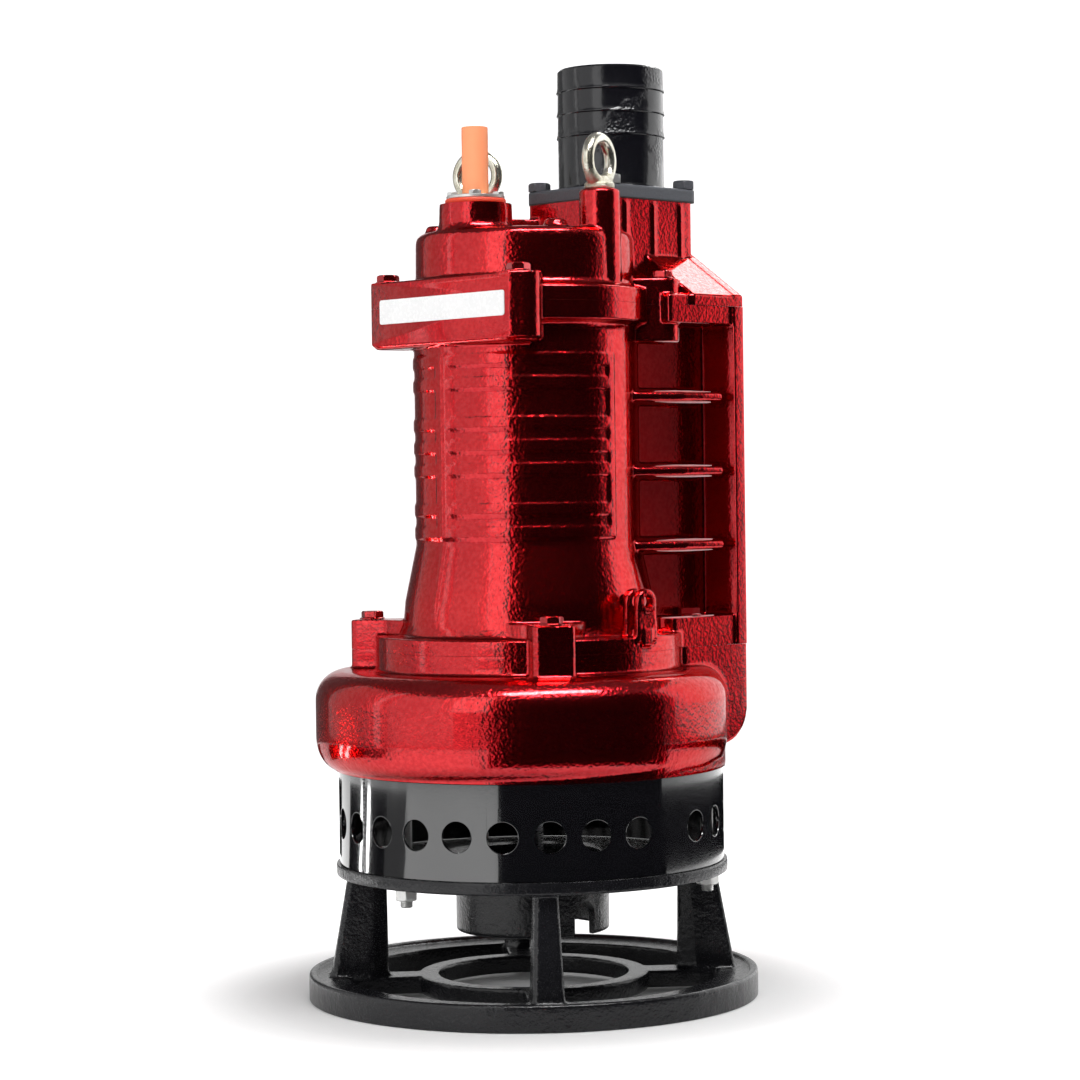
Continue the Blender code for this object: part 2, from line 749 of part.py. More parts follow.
def make_suction_skirt():
    inner = SKIRT_RADIUS - SKIRT_WALL
    flange = SKIRT_RADIUS + SKIRT_FLANGE_WIDTH
    seat = DECK_TOP + GAP
    top = seat + SKIRT_FLANGE_THICKNESS
    skirt = turned("suction_skirt", [
        (flange, top), (flange, seat), (SKIRT_RADIUS, seat),
        (SKIRT_RADIUS, SKIRT_BOTTOM + SKIRT_EDGE), (SKIRT_RADIUS - SKIRT_EDGE, SKIRT_BOTTOM),
        (inner, SKIRT_BOTTOM), (inner, top)], MIDDLE_STEPS)
    half = NOTCH_WIDTH / 2
    straight = SKIRT_BOTTOM + NOTCH_HEIGHT - half
    arch = [(half * cos(pi * step / NOTCH_STEPS), straight + half * sin(pi * step / NOTCH_STEPS))
            for step in range(NOTCH_STEPS + 1)]
    outline = arch + [(-half, SKIRT_BOTTOM - OVERRUN), (half, SKIRT_BOTTOM - OVERRUN)]
    notch = plate("skirt_notches", [outline], (SKIRT_RADIUS + OVERRUN) * 2, turn=FACING_Y)
    return finished(cut(skirt, notch), "satin_black_casting")


def make_stand_studs():
    top = VOLUTE_BOTTOM + STUD_DEPTH - GAP
    bottom = DECK_BOTTOM - GAP - NUT_HEIGHT - STUD_TAIL
    stud = finished(rods("stand_stud", STUD_RADIUS, bottom, top, [(0.0, 0.0)]), "bright_zinc")
    return copies("stand_stud", stud, stud_places())


def make_stand_nuts():
    top = DECK_BOTTOM - GAP
    outer = circle(flat_radius(NUT_FLATS), HEX_SIDES)
    inner = circle(bore_radius(STUD_RADIUS, ROD_STEPS), ROD_STEPS)
    nut = finished(slab("stand_nut", [outer, inner], top - NUT_HEIGHT, top), "bright_zinc")
    return copies("stand_nut", seated_at_origin(nut), stud_places())


def seated_at_origin(thing):
    """Moves a thing's height into its mesh, so that its origin lies at floor level."""
    thing.data.transform(thing.matrix_world)
    thing.matrix_world = Matrix.Identity(4)
    return thing


def make_strainer_band():
    band = turned("strainer_band", ring_section(
        BAND_RADIUS - BAND_WALL, BAND_RADIUS, DECK_TOP + GAP, VOLUTE_BOTTOM - GAP), BAND_STEPS)
    work = bmesh.new()
    pitch = (FULL_TURN - STRAINER_GAP_ANGLE) / (STRAINER_HOLES - 1)
    reach = BAND_WALL + OVERRUN * 2
    for index in range(STRAINER_HOLES):
        angle = STRAINER_GAP_CENTRE + STRAINER_GAP_ANGLE / 2 + pitch * index
        made = add_rod(work, STRAINER_HOLE_RADIUS, -reach / 2, reach / 2, (0.0, 0.0), HOLE_STEPS)
        centre = (*polar(BAND_RADIUS - BAND_WALL / 2, angle), DECK_TOP + STRAINER_HOLE_LIFT)
        place_hole = (Matrix.Translation(centre) @ Matrix.Rotation(radians(angle), 4, "Z")
                      @ Matrix.Rotation(radians(QUARTER_TURN), 4, "Y"))
        bmesh.ops.transform(work, matrix=place_hole, verts=made)
    return finished(cut(band, mesh_thing("strainer_holes", work)), "gloss_black_enamel")


# Volute casing and suction cover

def block_corner_angle():
    return degrees(atan2(BLOCK_HALF_WIDTH, BLOCK_BACK))


def volute_radius(angle):
    """Outer radius of the spiral, which grows clockwise seen from above."""
    corner = block_corner_angle()
    travel = (-angle - corner) % FULL_TURN
    share = min(travel / (FULL_TURN - 2 * corner), 1.0)
    if travel > FULL_TURN - corner:
        share = 0.0
    growth = (VOLUTE_END_RADIUS - VOLUTE_START_RADIUS) * share ** VOLUTE_GROWTH_POWER
    radius = VOLUTE_START_RADIUS + growth
    signed_angle = (angle + HALF_TURN) % FULL_TURN - HALF_TURN
    if abs(signed_angle) < QUARTER_TURN:
        radius = min(radius, (BLOCK_BACK - VOLUTE_INSET) / cos(radians(signed_angle)))
    return radius


def quarter_bends():
    """Sines and cosines along a quarter arc, from its start to its end."""
    return [(sin(step * pi / 2 / ARC_STEPS), cos(step * pi / 2 / ARC_STEPS))
            for step in range(ARC_STEPS + 1)]


def volute_outer_section(radius):
    """Flange, shoulder arc, belly arc down to the round collar, then the inner face."""
    shoulder = [(radius - VOLUTE_SHOULDER_WIDTH * (1 - rise), VOLUTE_TOP - VOLUTE_SHOULDER_HEIGHT * (1 - run))
                for rise, run in quarter_bends()]
    belly = [(max(radius - VOLUTE_BELLY_WIDTH * (1 - run), VOLUTE_COLLAR_RADIUS),
              VOLUTE_BOTTOM + VOLUTE_BELLY_HEIGHT * (1 - rise)) for rise, run in quarter_bends()]
    inner = VOLUTE_BOTTOM_BORE - OVERRUN
    return ([(FLANGE_RADIUS, LOWER_JOINT), (FLANGE_RADIUS, VOLUTE_TOP)] + shoulder + belly
            + [(inner, VOLUTE_BOTTOM), (inner, LOWER_JOINT)])


def volute_cavity_section(radius):
    wall_radius = radius - VOLUTE_WALL
    corner = VOLUTE_SHOULDER_HEIGHT - VOLUTE_WALL
    inner = VOLUTE_BOTTOM_BORE - OVERRUN * 2
    return [(inner, CAVITY_TOP), (wall_radius - corner, CAVITY_TOP), (wall_radius, CAVITY_TOP - corner),
            (wall_radius, CAVITY_BOTTOM + corner), (wall_radius - corner, CAVITY_BOTTOM),
            (inner, CAVITY_BOTTOM)]


def volute_loft(name, section_at):
    turn = FULL_TURN / BIG_STEPS
    return loft(name, [turned_section(section_at(volute_radius(turn * index)), turn * index)
                       for index in range(BIG_STEPS)], closed=True)


def turned_in_plan(outline, angle):
    turn = Matrix.Rotation(radians(angle), 2)
    return [tuple(turn @ Vector(corner)) for corner in outline]


def lower_lug_outline():
    """A radial lug in plan, with rounded outer corners and flanks that spread into the barrel."""
    tip = rounded([(LOWER_LUG_SHOULDER, -LOWER_LUG_HALF_WIDTH), (LOWER_LUG_REACH, -LOWER_LUG_HALF_WIDTH),
                   (LOWER_LUG_REACH, LOWER_LUG_HALF_WIDTH), (LOWER_LUG_SHOULDER, LOWER_LUG_HALF_WIDTH)],
                  LUG_CORNER, LUG_ARC_STEPS)
    arc = LUG_ARC_STEPS + 1
    return ([(LOWER_LUG_ROOT, -LOWER_LUG_ROOT_HALF_WIDTH), (LOWER_LUG_SHOULDER, -LOWER_LUG_HALF_WIDTH)]
            + tip[arc:arc * 3]
            + [(LOWER_LUG_SHOULDER, LOWER_LUG_HALF_WIDTH), (LOWER_LUG_ROOT, LOWER_LUG_ROOT_HALF_WIDTH)])


def upper_lug_outline():
    return rounded([(UPPER_LUG_ROOT, -UPPER_LUG_HALF_WIDTH), (UPPER_LUG_REACH, -UPPER_LUG_HALF_WIDTH),
                    (UPPER_LUG_REACH, UPPER_LUG_HALF_WIDTH), (UPPER_LUG_ROOT, UPPER_LUG_HALF_WIDTH)],
                   LUG_CORNER, LUG_ARC_STEPS)


def lugs(name, outline, angles, bottom, top):
    """The bolt lugs of one half of a joint."""
    return [slab("%s_lug_%d" % (name, index), [turned_in_plan(outline, angle)], bottom, top)
            for index, angle in enumerate(angles)]


def front_block(name, bottom, top):
    """One half of the block that ties the two lugs on the side away from the duct."""
    face, root, half = -FRONT_BLOCK_FACE, -FRONT_BLOCK_ROOT, FRONT_BLOCK_HALF_WIDTH
    outline = rounded([(face, -half), (root, -half), (root, half), (face, half)],
                      FRONT_BLOCK_CORNER, LUG_ARC_STEPS)
    return slab(name + "_front_block", [outline], bottom, top)


def places_on(circle_radius, angles):
    return [polar(circle_radius, angle) for angle in angles]


def bolt_holes(name, centres, bottom, top, radius=BOLT_RADIUS):
    return rods(name, bore_radius(radius, HOLE_STEPS), bottom, top, centres, HOLE_STEPS)


def discharge_block():
    """The block under the duct, with its lower back edge well rounded."""
    bottom = VOLUTE_TOP - BLOCK_DROP
    arc = [(BLOCK_BACK - BLOCK_ROUND * (1 - run), bottom + BLOCK_ROUND * (1 - rise))
           for rise, run in quarter_bends()]
    outline = [(BLOCK_FRONT, LOWER_JOINT), (BLOCK_BACK, LOWER_JOINT)] + arc + [(BLOCK_FRONT, bottom)]
    return plate("discharge_block", [outline], BLOCK_HALF_WIDTH * 2, turn=FACING_Y)


def make_volute_casing():
    casing = volute_loft("volute_casing", volute_outer_section)
    joined(casing, discharge_block(),
           *lugs("volute", lower_lug_outline(), LOWER_LUG_ANGLES, VOLUTE_TOP - OVERRUN, LOWER_JOINT))
    cavity = volute_loft("volute_cavity", volute_cavity_section)
    ledge = VOLUTE_TOP_BORE - VOLUTE_LEDGE_WIDTH
    middle = (CAVITY_BOTTOM + CAVITY_TOP) / 2
    bores = turned("volute_bores", [
        (0.0, LOWER_JOINT + OVERRUN), (VOLUTE_TOP_BORE, LOWER_JOINT + OVERRUN), (VOLUTE_TOP_BORE, LEDGE_TOP),
        (ledge, LEDGE_TOP), (ledge, middle), (VOLUTE_BOTTOM_BORE, middle),
        (VOLUTE_BOTTOM_BORE, VOLUTE_BOTTOM - OVERRUN), (0.0, VOLUTE_BOTTOM - OVERRUN)],
        BIG_STEPS, closed=False)
    water = box("volute_passage", (PASSAGE_INNER, -PASSAGE_HALF_WIDTH, LOWER_JOINT - PASSAGE_START),
                (PASSAGE_OUTER, PASSAGE_HALF_WIDTH, LOWER_JOINT + OVERRUN))
    cut(casing, cavity, water, bores,
        bolt_holes("volute_bolt_holes", places_on(LOWER_BOLT_CIRCLE, LOWER_LUG_ANGLES),
                   LOWER_JOINT - BOLT_DEPTH - GAP, LOWER_JOINT + OVERRUN),
        bolt_holes("volute_stud_holes", stud_places(), VOLUTE_BOTTOM - OVERRUN,
                   VOLUTE_BOTTOM + STUD_DEPTH, STUD_RADIUS))
    return finished(casing, "red_gloss_paint")


def make_suction_cover():
    seat = VOLUTE_BOTTOM - GAP
    spigot = inside(VOLUTE_BOTTOM_BORE, BIG_STEPS)
    return finished(turned("suction_cover", [
        (spigot, CAVITY_BOTTOM), (spigot, seat), (SUCTION_FLANGE_RADIUS, seat),
        (SUCTION_FLANGE_RADIUS, seat - SUCTION_FLANGE_THICKNESS),
        (SUCTION_MOUTH_RADIUS, seat - SUCTION_FLANGE_THICKNESS),
        (SUCTION_EYE_RADIUS, CAVITY_BOTTOM)], MIDDLE_STEPS), "cast_iron")


# Rotor: shaft, impeller, agitator and motor core

def make_pump_shaft():
    top = UPPER_JOINT - SHAFT_TOP_LAND
    core_top = UPPER_BRACKET_BOTTOM - SHAFT_TOP_LAND
    core_bottom = BRACKET_TOP + SHAFT_LAND
    return finished(turned("pump_shaft", [
        (0.0, top), (SHAFT_TOP_RADIUS, top), (SHAFT_TOP_RADIUS, core_top),
        (SHAFT_CORE_RADIUS, core_top), (SHAFT_CORE_RADIUS, core_bottom),
        (SHAFT_BEARING_RADIUS, core_bottom), (SHAFT_BEARING_RADIUS, BRACKET_BOTTOM),
        (SHAFT_SEAL_RADIUS, BRACKET_BOTTOM), (SHAFT_SEAL_RADIUS, IMPELLER_TOP + GAP),
        (SHAFT_WET_RADIUS, IMPELLER_TOP + GAP), (SHAFT_WET_RADIUS, NUT_BOTTOM),
        (SHAFT_END_RADIUS, NUT_BOTTOM), (SHAFT_END_RADIUS, AGITATOR_BOTTOM),
        (0.0, AGITATOR_BOTTOM)], SMALL_STEPS, closed=False), "machined_steel")


def impeller_vane(name, index):
    """A vane that sweeps back as it leaves the hub, from the shroud down to its running edge."""
    inner = IMPELLER_HUB_RADIUS - IMPELLER_VANE_THICKNESS / 2
    bottom = CAVITY_BOTTOM + RUNNING_CLEARANCE
    top = IMPELLER_TOP - IMPELLER_SHROUD / 2
    start = FULL_TURN / IMPELLER_VANES * index
    rings = []
    for step in range(VANE_STEPS + 1):
        share = step / VANE_STEPS
        radius = inner + (IMPELLER_RADIUS - EDGE_INSET - inner) * share
        half_angle = degrees(IMPELLER_VANE_THICKNESS / 2 / radius)
        middle = start - IMPELLER_VANE_SWEEP * share
        near, far = polar(radius, middle - half_angle), polar(radius, middle + half_angle)
        rings.append([(*near, bottom), (*far, bottom), (*far, top), (*near, top)])
    return loft("%s_%d" % (name, index), rings)


def make_impeller():
    bore = bore_radius(SHAFT_WET_RADIUS, SMALL_STEPS)
    under = IMPELLER_TOP - IMPELLER_SHROUD
    impeller = turned("impeller", [
        (IMPELLER_RADIUS, IMPELLER_TOP), (IMPELLER_RADIUS, under), (IMPELLER_HUB_RADIUS, under),
        (IMPELLER_HUB_RADIUS, HUB_BOTTOM), (bore, HUB_BOTTOM), (bore, IMPELLER_TOP)], SMALL_STEPS)
    joined(impeller, *[impeller_vane("vane", index) for index in range(IMPELLER_VANES)])
    return finished(impeller, "cast_iron")


def make_impeller_nut():
    outer = circle(IMPELLER_NUT_RADIUS, HEX_SIDES)
    inner = circle(bore_radius(SHAFT_WET_RADIUS, SMALL_STEPS), SMALL_STEPS)
    nut = slab("impeller_nut", [outer, inner], NUT_BOTTOM + GAP, HUB_BOTTOM - GAP)
    return finished(nut, "machined_steel")


def agitator_blade(name, index):
    """A blade twisted like a propeller's, from the hub to its tip."""
    inner = AGITATOR_HUB_RADIUS - AGITATOR_BLADE_THICKNESS / 2
    middle = (AGITATOR_TOP + AGITATOR_BOTTOM) / 2
    half_height = (AGITATOR_TOP - AGITATOR_BOTTOM) / 2 - EDGE_INSET
    half = AGITATOR_BLADE_THICKNESS / 2
    rings = []
    for radius in (inner, AGITATOR_RADIUS):
        corners = [(-half, -half_height), (half, -half_height), (half, half_height), (-half, half_height)]
        lean = Matrix.Rotation(radians(AGITATOR_TWIST), 2)
        leant = [lean @ Vector(corner) for corner in corners]
        rings.append([(radius, side * AGITATOR_BLADE_SHARE, middle + up * AGITATOR_BLADE_SHARE)
                      for side, up in leant])
    blade = loft("%s_%d" % (name, index), rings)
    blade.rotation_euler.z = radians(FULL_TURN / AGITATOR_BLADES * index)
    return blade


def make_agitator():
    bore = bore_radius(SHAFT_END_RADIUS, SMALL_STEPS)
    agitator = turned("agitator", [
        (AGITATOR_HUB_RADIUS, AGITATOR_TOP), (AGITATOR_HUB_RADIUS, AGITATOR_BOTTOM),
        (bore, AGITATOR_BOTTOM), (bore, AGITATOR_TOP)], SMALL_STEPS)
    joined(agitator, *[agitator_blade("blade", index) for index in range(AGITATOR_BLADES)])
    return finished(agitator, "cast_iron")


def round_piece(name, inner, outer, bottom, top, finish, steps=SMALL_STEPS):
    return finished(turned(name, ring_section(inner, outer, bottom, top), steps), finish)


def make_motor_core():
    core_bore = bore_radius(SHAFT_CORE_RADIUS, SMALL_STEPS)
    stack = inside(HOUSING_BORE, BIG_STEPS)
    bore = STATOR_BORE / cos(pi / SMALL_STEPS)
    round_piece("stator_core", bore, stack, STACK_BOTTOM, STACK_TOP, "cast_iron")
    round_piece("rotor_core", core_bore, STATOR_BORE - AIR_GAP, STACK_BOTTOM, STACK_TOP, "machined_steel")
    round_piece("stator_winding_lower", WINDING_INNER, WINDING_OUTER,
                STACK_BOTTOM - GAP - WINDING_HEIGHT, STACK_BOTTOM - GAP, "copper_winding")
    round_piece("stator_winding_upper", WINDING_INNER, WINDING_OUTER,
                STACK_TOP + GAP, STACK_TOP + GAP + WINDING_HEIGHT, "copper_winding")


# Oil chamber, seals, bearings and their brackets

def make_oil_housing():
    neck = inside(HOUSING_BORE, BIG_STEPS)
    spigot = inside(VOLUTE_TOP_BORE, BIG_STEPS)
    ledge = inside(VOLUTE_TOP_BORE - VOLUTE_LEDGE_WIDTH, BIG_STEPS)
    seal_bore = bore_radius(SEAL_RADIUS, SMALL_STEPS)
    top = BRACKET_BOTTOM - GAP
    return finished(turned("oil_housing", [
        (neck, top), (neck, LOWER_JOINT - GAP), (spigot, LOWER_JOINT - GAP), (spigot, LEDGE_TOP + GAP),
        (ledge, LEDGE_TOP + GAP), (ledge, CAVITY_TOP), (seal_bore, CAVITY_TOP),
        (seal_bore, OIL_FLOOR), (neck - OIL_WALL, OIL_FLOOR), (neck - OIL_WALL, top)],
        SMALL_STEPS), "cast_iron")


def make_seals():
    shaft_bore = bore_radius(SHAFT_SEAL_RADIUS, SMALL_STEPS)
    seat_top = OIL_FLOOR + SEAL_SEAT_RISE
    round_piece("seal_seat", shaft_bore + SEAL_CLEARANCE, SEAL_RADIUS, CAVITY_TOP + SEAL_RECESS,
                seat_top, "hard_carbide")
    round_piece("seal_ring", shaft_bore, SEAL_RADIUS - SEAL_CLEARANCE, seat_top + GAP,
                seat_top + GAP + SEAL_RING_HEIGHT, "hard_carbide")


def make_bearing(name, bore, radius, bottom, height):
    """Inner race, outer race, and one ball set held in its cage."""
    inner = bore_radius(bore, SMALL_STEPS)
    race = (radius - inner) * RACE_SHARE
    inner_track = inner + race
    outer_track = radius - race
    top = bottom + height
    round_piece(name + "_outer_race", outer_track, radius, bottom, top, "machined_steel")
    round_piece(name + "_inner_race", inner, inner_track, bottom, top, "machined_steel")
    outer_room = outer_track * cos(pi / SMALL_STEPS)
    ball_circle = (inner_track + outer_room) / 2
    ball_radius = (outer_room - inner_track) / 2 - GAP
    middle = (bottom + top) / 2
    balls = turned(name + "_ball_set", ring_section(
        ball_circle - ball_radius * CAGE_SHARE, ball_circle + ball_radius * CAGE_SHARE,
        middle - ball_radius * CAGE_SHARE, middle + ball_radius * CAGE_SHARE), SMALL_STEPS)
    work = bmesh.new()
    for index in range(BALL_COUNT):
        made = bmesh.ops.create_icosphere(work, subdivisions=1, radius=ball_radius)["verts"]
        centre = (*polar(ball_circle, FULL_TURN / BALL_COUNT * index), middle)
        bmesh.ops.translate(work, vec=centre, verts=made)
    return finished(joined(balls, mesh_thing(name + "_balls", work)), "machined_steel")


def make_lower_bracket():
    outer = inside(HOUSING_BORE, BIG_STEPS)
    pocket = bore_radius(LOWER_BEARING_RADIUS, SMALL_STEPS)
    hole = bore_radius(SHAFT_BEARING_RADIUS, SMALL_STEPS) + RUNNING_CLEARANCE
    floor = BRACKET_BOTTOM + BRACKET_FLOOR
    make_bearing("lower_bearing", SHAFT_BEARING_RADIUS, LOWER_BEARING_RADIUS, floor + GAP,
                 LOWER_BEARING_HEIGHT)
    return finished(turned("lower_bearing_bracket", [
        (outer, BRACKET_TOP), (outer, BRACKET_BOTTOM), (hole, BRACKET_BOTTOM), (hole, floor),
        (pocket, floor), (pocket, BRACKET_TOP)], SMALL_STEPS), "cast_iron")


def make_upper_bracket():
    outer = inside(HOUSING_BORE, BIG_STEPS)
    pocket = bore_radius(UPPER_BEARING_RADIUS, SMALL_STEPS)
    hole = bore_radius(SHAFT_TOP_RADIUS, SMALL_STEPS) + RUNNING_CLEARANCE
    floor = UPPER_BRACKET_BOTTOM + UPPER_BRACKET_FLOOR
    top = UPPER_JOINT
    make_bearing("upper_bearing", SHAFT_TOP_RADIUS, UPPER_BEARING_RADIUS, floor + GAP, UPPER_BEARING_HEIGHT)
    return finished(turned("upper_bearing_bracket", [
        (outer, top), (outer, UPPER_BRACKET_BOTTOM), (hole, UPPER_BRACKET_BOTTOM), (hole, floor),
        (pocket, floor), (pocket, top)], SMALL_STEPS), "cast_iron")


# Motor housing, with the duct cast on it

def duct_plan():
    """The duct in plan: its two side walls and the wider back plate."""
    half, wide = DUCT_HALF_WIDTH, BLOCK_HALF_WIDTH
    return [(DUCT_FRONT, -half), (DUCT_BACK, -half), (DUCT_BACK, -wide), (BLOCK_BACK, -wide),
            (BLOCK_BACK, wide), (DUCT_BACK, wide), (DUCT_BACK, half), (DUCT_FRONT, half)]


def flange_plan():
    """The full-width plate at each end of the duct, in plan."""
    half = BLOCK_HALF_WIDTH - TOP_PLATE_INSET
    return [(DUCT_PLATE_FRONT, -half), (BLOCK_BACK, -half), (BLOCK_BACK, half), (DUCT_PLATE_FRONT, half)]


def duct_rib(name, height, side):
    """A drafted rib from the barrel out to the back plate, thick at its root, with a tapered end."""
    root = DUCT_HALF_WIDTH - DUCT_WALL / 2
    rings = []
    for along, reach, share in zip(RIB_STATIONS, RIB_REACHES, RIB_THICKNESS_SHARES):
        thick, thin = RIB_ROOT / 2 * share, RIB_EDGE / 2 * share
        rings.append([(along, side * root, height - thick), (along, side * reach, height - thin),
                      (along, side * reach, height + thin), (along, side * root, height + thick)])
    return loft(name, rings)


def clevis_ear(name, distance):
    """An upright ear with a round top, its face square to the Y axis."""
    half = CLEVIS_WIDTH / 2
    foot = LOWER_JOINT + HOUSING_RING_HEIGHT - OVERRUN
    shoulder = LOWER_JOINT + HOUSING_RING_HEIGHT + CLEVIS_HEIGHT - half
    arch = [(CLEVIS_X + half * cos(pi * step / NOTCH_STEPS), shoulder + half * sin(pi * step / NOTCH_STEPS))
            for step in range(NOTCH_STEPS + 1)]
    outline = arch + [(CLEVIS_X - half, foot), (CLEVIS_X + half, foot)]
    hole = circle(CLEVIS_HOLE_RADIUS, HOLE_STEPS, (CLEVIS_X, shoulder))
    return plate(name, [outline, hole], CLEVIS_EAR, (0.0, -distance, 0.0), FACING_Y)


def raised_panel():
    """The panel that stands proud of the barrel on the side away from the duct."""
    panel_top = PANEL_BOTTOM_HEIGHT + POCKET_LAND * (len(POCKET_HEIGHTS) + 1) + sum(POCKET_HEIGHTS)
    profile = ring_section(BARREL_RADIUS - OVERRUN, BARREL_RADIUS + BAND_PROUD, PANEL_BOTTOM_HEIGHT,
                           panel_top)
    reach = PANEL_FACETS / 2 * FULL_TURN / BIG_STEPS
    return sector("raised_panel", profile, HALF_TURN - reach, HALF_TURN + reach, PANEL_FACETS)


def pocket_cutter():
    """Two columns of shallow pockets, one on each side of the panel's middle."""
    outer = BARREL_RADIUS + BAND_PROUD + OVERRUN
    floor = BARREL_RADIUS + BAND_PROUD - POCKET_DEPTH
    facet = FULL_TURN / BIG_STEPS
    angles = [POCKET_START_ANGLE] + [
        facet * index for index in range(BIG_STEPS // 2)
        if POCKET_START_ANGLE < facet * index < POCKET_END_ANGLE] + [POCKET_END_ANGLE]
    work = bmesh.new()
    bottom = PANEL_BOTTOM_HEIGHT + POCKET_LAND
    for height in POCKET_HEIGHTS:
        for side in (-1, 1):
            add_loft(work, [turned_section(ring_section(
                on_facet(floor, angle), outer, bottom, bottom + height), side * angle) for angle in angles])
        bottom += height + POCKET_LAND
    return mesh_thing("pockets", work)


def housing_barrel(name):
    """The barrel with its flare and flange ring, solid as far as the axis."""
    neck = UPPER_JOINT - TOP_FLANGE_THICKNESS
    ring_top = LOWER_JOINT + GAP + HOUSING_RING_HEIGHT
    return turned(name, [
        (0.0, UPPER_JOINT), (TOP_FLANGE_RADIUS, UPPER_JOINT), (TOP_FLANGE_RADIUS, neck),
        (BARREL_RADIUS + TOP_FILLET, neck), (BARREL_RADIUS, neck - TOP_FILLET),
        (BARREL_RADIUS, PANEL_BOTTOM_HEIGHT - OVERRUN), (FLARE_RADIUS, LOWER_JOINT + FLARE_HEIGHT),
        (FLARE_FOOT_RADIUS, ring_top), (FLANGE_RADIUS, ring_top), (FLANGE_RADIUS, LOWER_JOINT + GAP),
        (0.0, LOWER_JOINT + GAP)], BIG_STEPS, closed=False)


def housing_body(name):
    """What the housing's two halves share: barrel, duct, plates, ribs and lugs."""
    bottom = LOWER_JOINT + GAP
    duct = slab(name + "_duct", [duct_plan()], bottom, UPPER_JOINT)
    foot = slab(name + "_foot", [flange_plan()], bottom, LOWER_JOINT + LOWER_LUG_HEIGHT)
    head = slab(name + "_head", [flange_plan()], UPPER_JOINT - DUCT_TOP_THICKNESS, UPPER_JOINT)
    ribs = [duct_rib("%s_rib_%d_%d" % (name, index, side), LOWER_JOINT + RIB_FIRST + RIB_PITCH * index, side)
            for index in range(RIB_COUNT) for side in (-1, 1)]
    return joined(housing_barrel(name), duct, foot, head, *ribs,
                  *lugs(name + "_lower", lower_lug_outline(), LOWER_LUG_ANGLES, bottom,
                        LOWER_JOINT + LOWER_LUG_HEIGHT),
                  *lugs(name + "_upper", upper_lug_outline(), UPPER_LUG_ANGLES,
                        UPPER_JOINT - UPPER_LUG_DROP, UPPER_JOINT))


def housing_cutters(name, near, far):
    """The bolt holes of both joints, and the parting box from one X to another."""
    side = LOWER_LUG_REACH + BLOCK_BACK
    return [
        bolt_holes(name + "_lower_holes", places_on(LOWER_BOLT_CIRCLE, LOWER_LUG_ANGLES),
                   LOWER_JOINT - OVERRUN, LOWER_JOINT + LOWER_LUG_HEIGHT + OVERRUN),
        bolt_holes(name + "_upper_holes", places_on(UPPER_BOLT_CIRCLE, UPPER_LUG_ANGLES),
                   UPPER_JOINT - UPPER_BOLT_DEPTH - GAP, UPPER_JOINT + OVERRUN),
        box(name + "_parting", (near, -side, LOWER_JOINT - OVERRUN), (far, side, UPPER_JOINT + OVERRUN))]


def make_motor_housing():
    """The barrel's half of the casting, as far as an upright plane in front of the discharge duct."""
    ears = [clevis_ear("clevis_%d" % index, CLEVIS_NEAR + CLEVIS_PITCH * index) for index in range(2)]
    housing = joined(housing_body("motor_housing"), raised_panel(), *ears,
                     front_block("housing", UPPER_JOINT - UPPER_LUG_DROP, UPPER_JOINT))
    bore = rods("housing_bore", HOUSING_BORE, LOWER_JOINT - OVERRUN, UPPER_JOINT + OVERRUN,
                [(0.0, 0.0)], BIG_STEPS)
    cut(housing, *housing_cutters("housing", DUCT_SPLIT - GAP, BLOCK_BACK + OVERRUN), bore)
    cut(housing, pocket_cutter(), solver="MANIFOLD")
    return finished(housing, "red_gloss_paint")


def make_discharge_duct():
    """The duct's half of the casting, with its back plate, pad and ribs."""
    pad = box("duct_pad", (DUCT_BACK, -PAD_HALF_WIDTH, LOWER_JOINT + PAD_MARGIN_LOW),
              (BLOCK_BACK + PAD_PROUD, PAD_HALF_WIDTH, UPPER_JOINT - PAD_MARGIN_HIGH))
    duct = joined(housing_body("discharge_duct"), pad)
    water = box("duct_passage", (PASSAGE_INNER, -PASSAGE_HALF_WIDTH, LOWER_JOINT - OVERRUN),
                (PASSAGE_OUTER, PASSAGE_HALF_WIDTH, UPPER_JOINT + OVERRUN))
    cut(duct, *housing_cutters("duct", -BLOCK_BACK, DUCT_SPLIT), water)
    return finished(duct, "red_gloss_paint")


def make_joint_bolts(name, circle_radius, angles, seat, depth):
    bolt = hex_bolt(name, seat + GAP, BOLT_FLATS, BOLT_HEAD, BOLT_RADIUS, depth)
    finished(bolt, "red_gloss_paint")
    return copies(name, bolt, places_on(circle_radius, angles), angles)


# Top cover

def eye_places():
    return [(EYE_X, -EYE_Y), (EYE_X, EYE_Y)]


def gland_bolt_places():
    around = [GLAND_BOLT_ANGLE + FULL_TURN / GLAND_BOLT_COUNT * index for index in range(GLAND_BOLT_COUNT)]
    return [(GLAND_X + x, y) for x, y in places_on(GLAND_BOLT_CIRCLE, around)]


def tail_bolt_places():
    return [(TAIL_X + side * TAIL_BOLT_HALF, edge * TAIL_BOLT_HALF) for side in (-1, 1) for edge in (-1, 1)]


def cover_gusset():
    """The fin over the duct's back plate, from the full width up to the outlet box."""
    low, high = BLOCK_HALF_WIDTH, BOX_HALF_WIDTH - OVERRUN
    bottom = UPPER_JOINT + GAP
    shoulder = UPPER_JOINT + COVER_CORNER_HEIGHT
    peak = UPPER_JOINT + GUSSET_RISE
    outline = [(-low, bottom), (low, bottom), (low, shoulder), (high, peak), (-high, peak), (-low, shoulder)]
    middle = (BLOCK_BACK - GUSSET_THICKNESS / 2, 0.0, 0.0)
    return plate("cover_gusset", [outline], GUSSET_THICKNESS, middle, FACING_X)


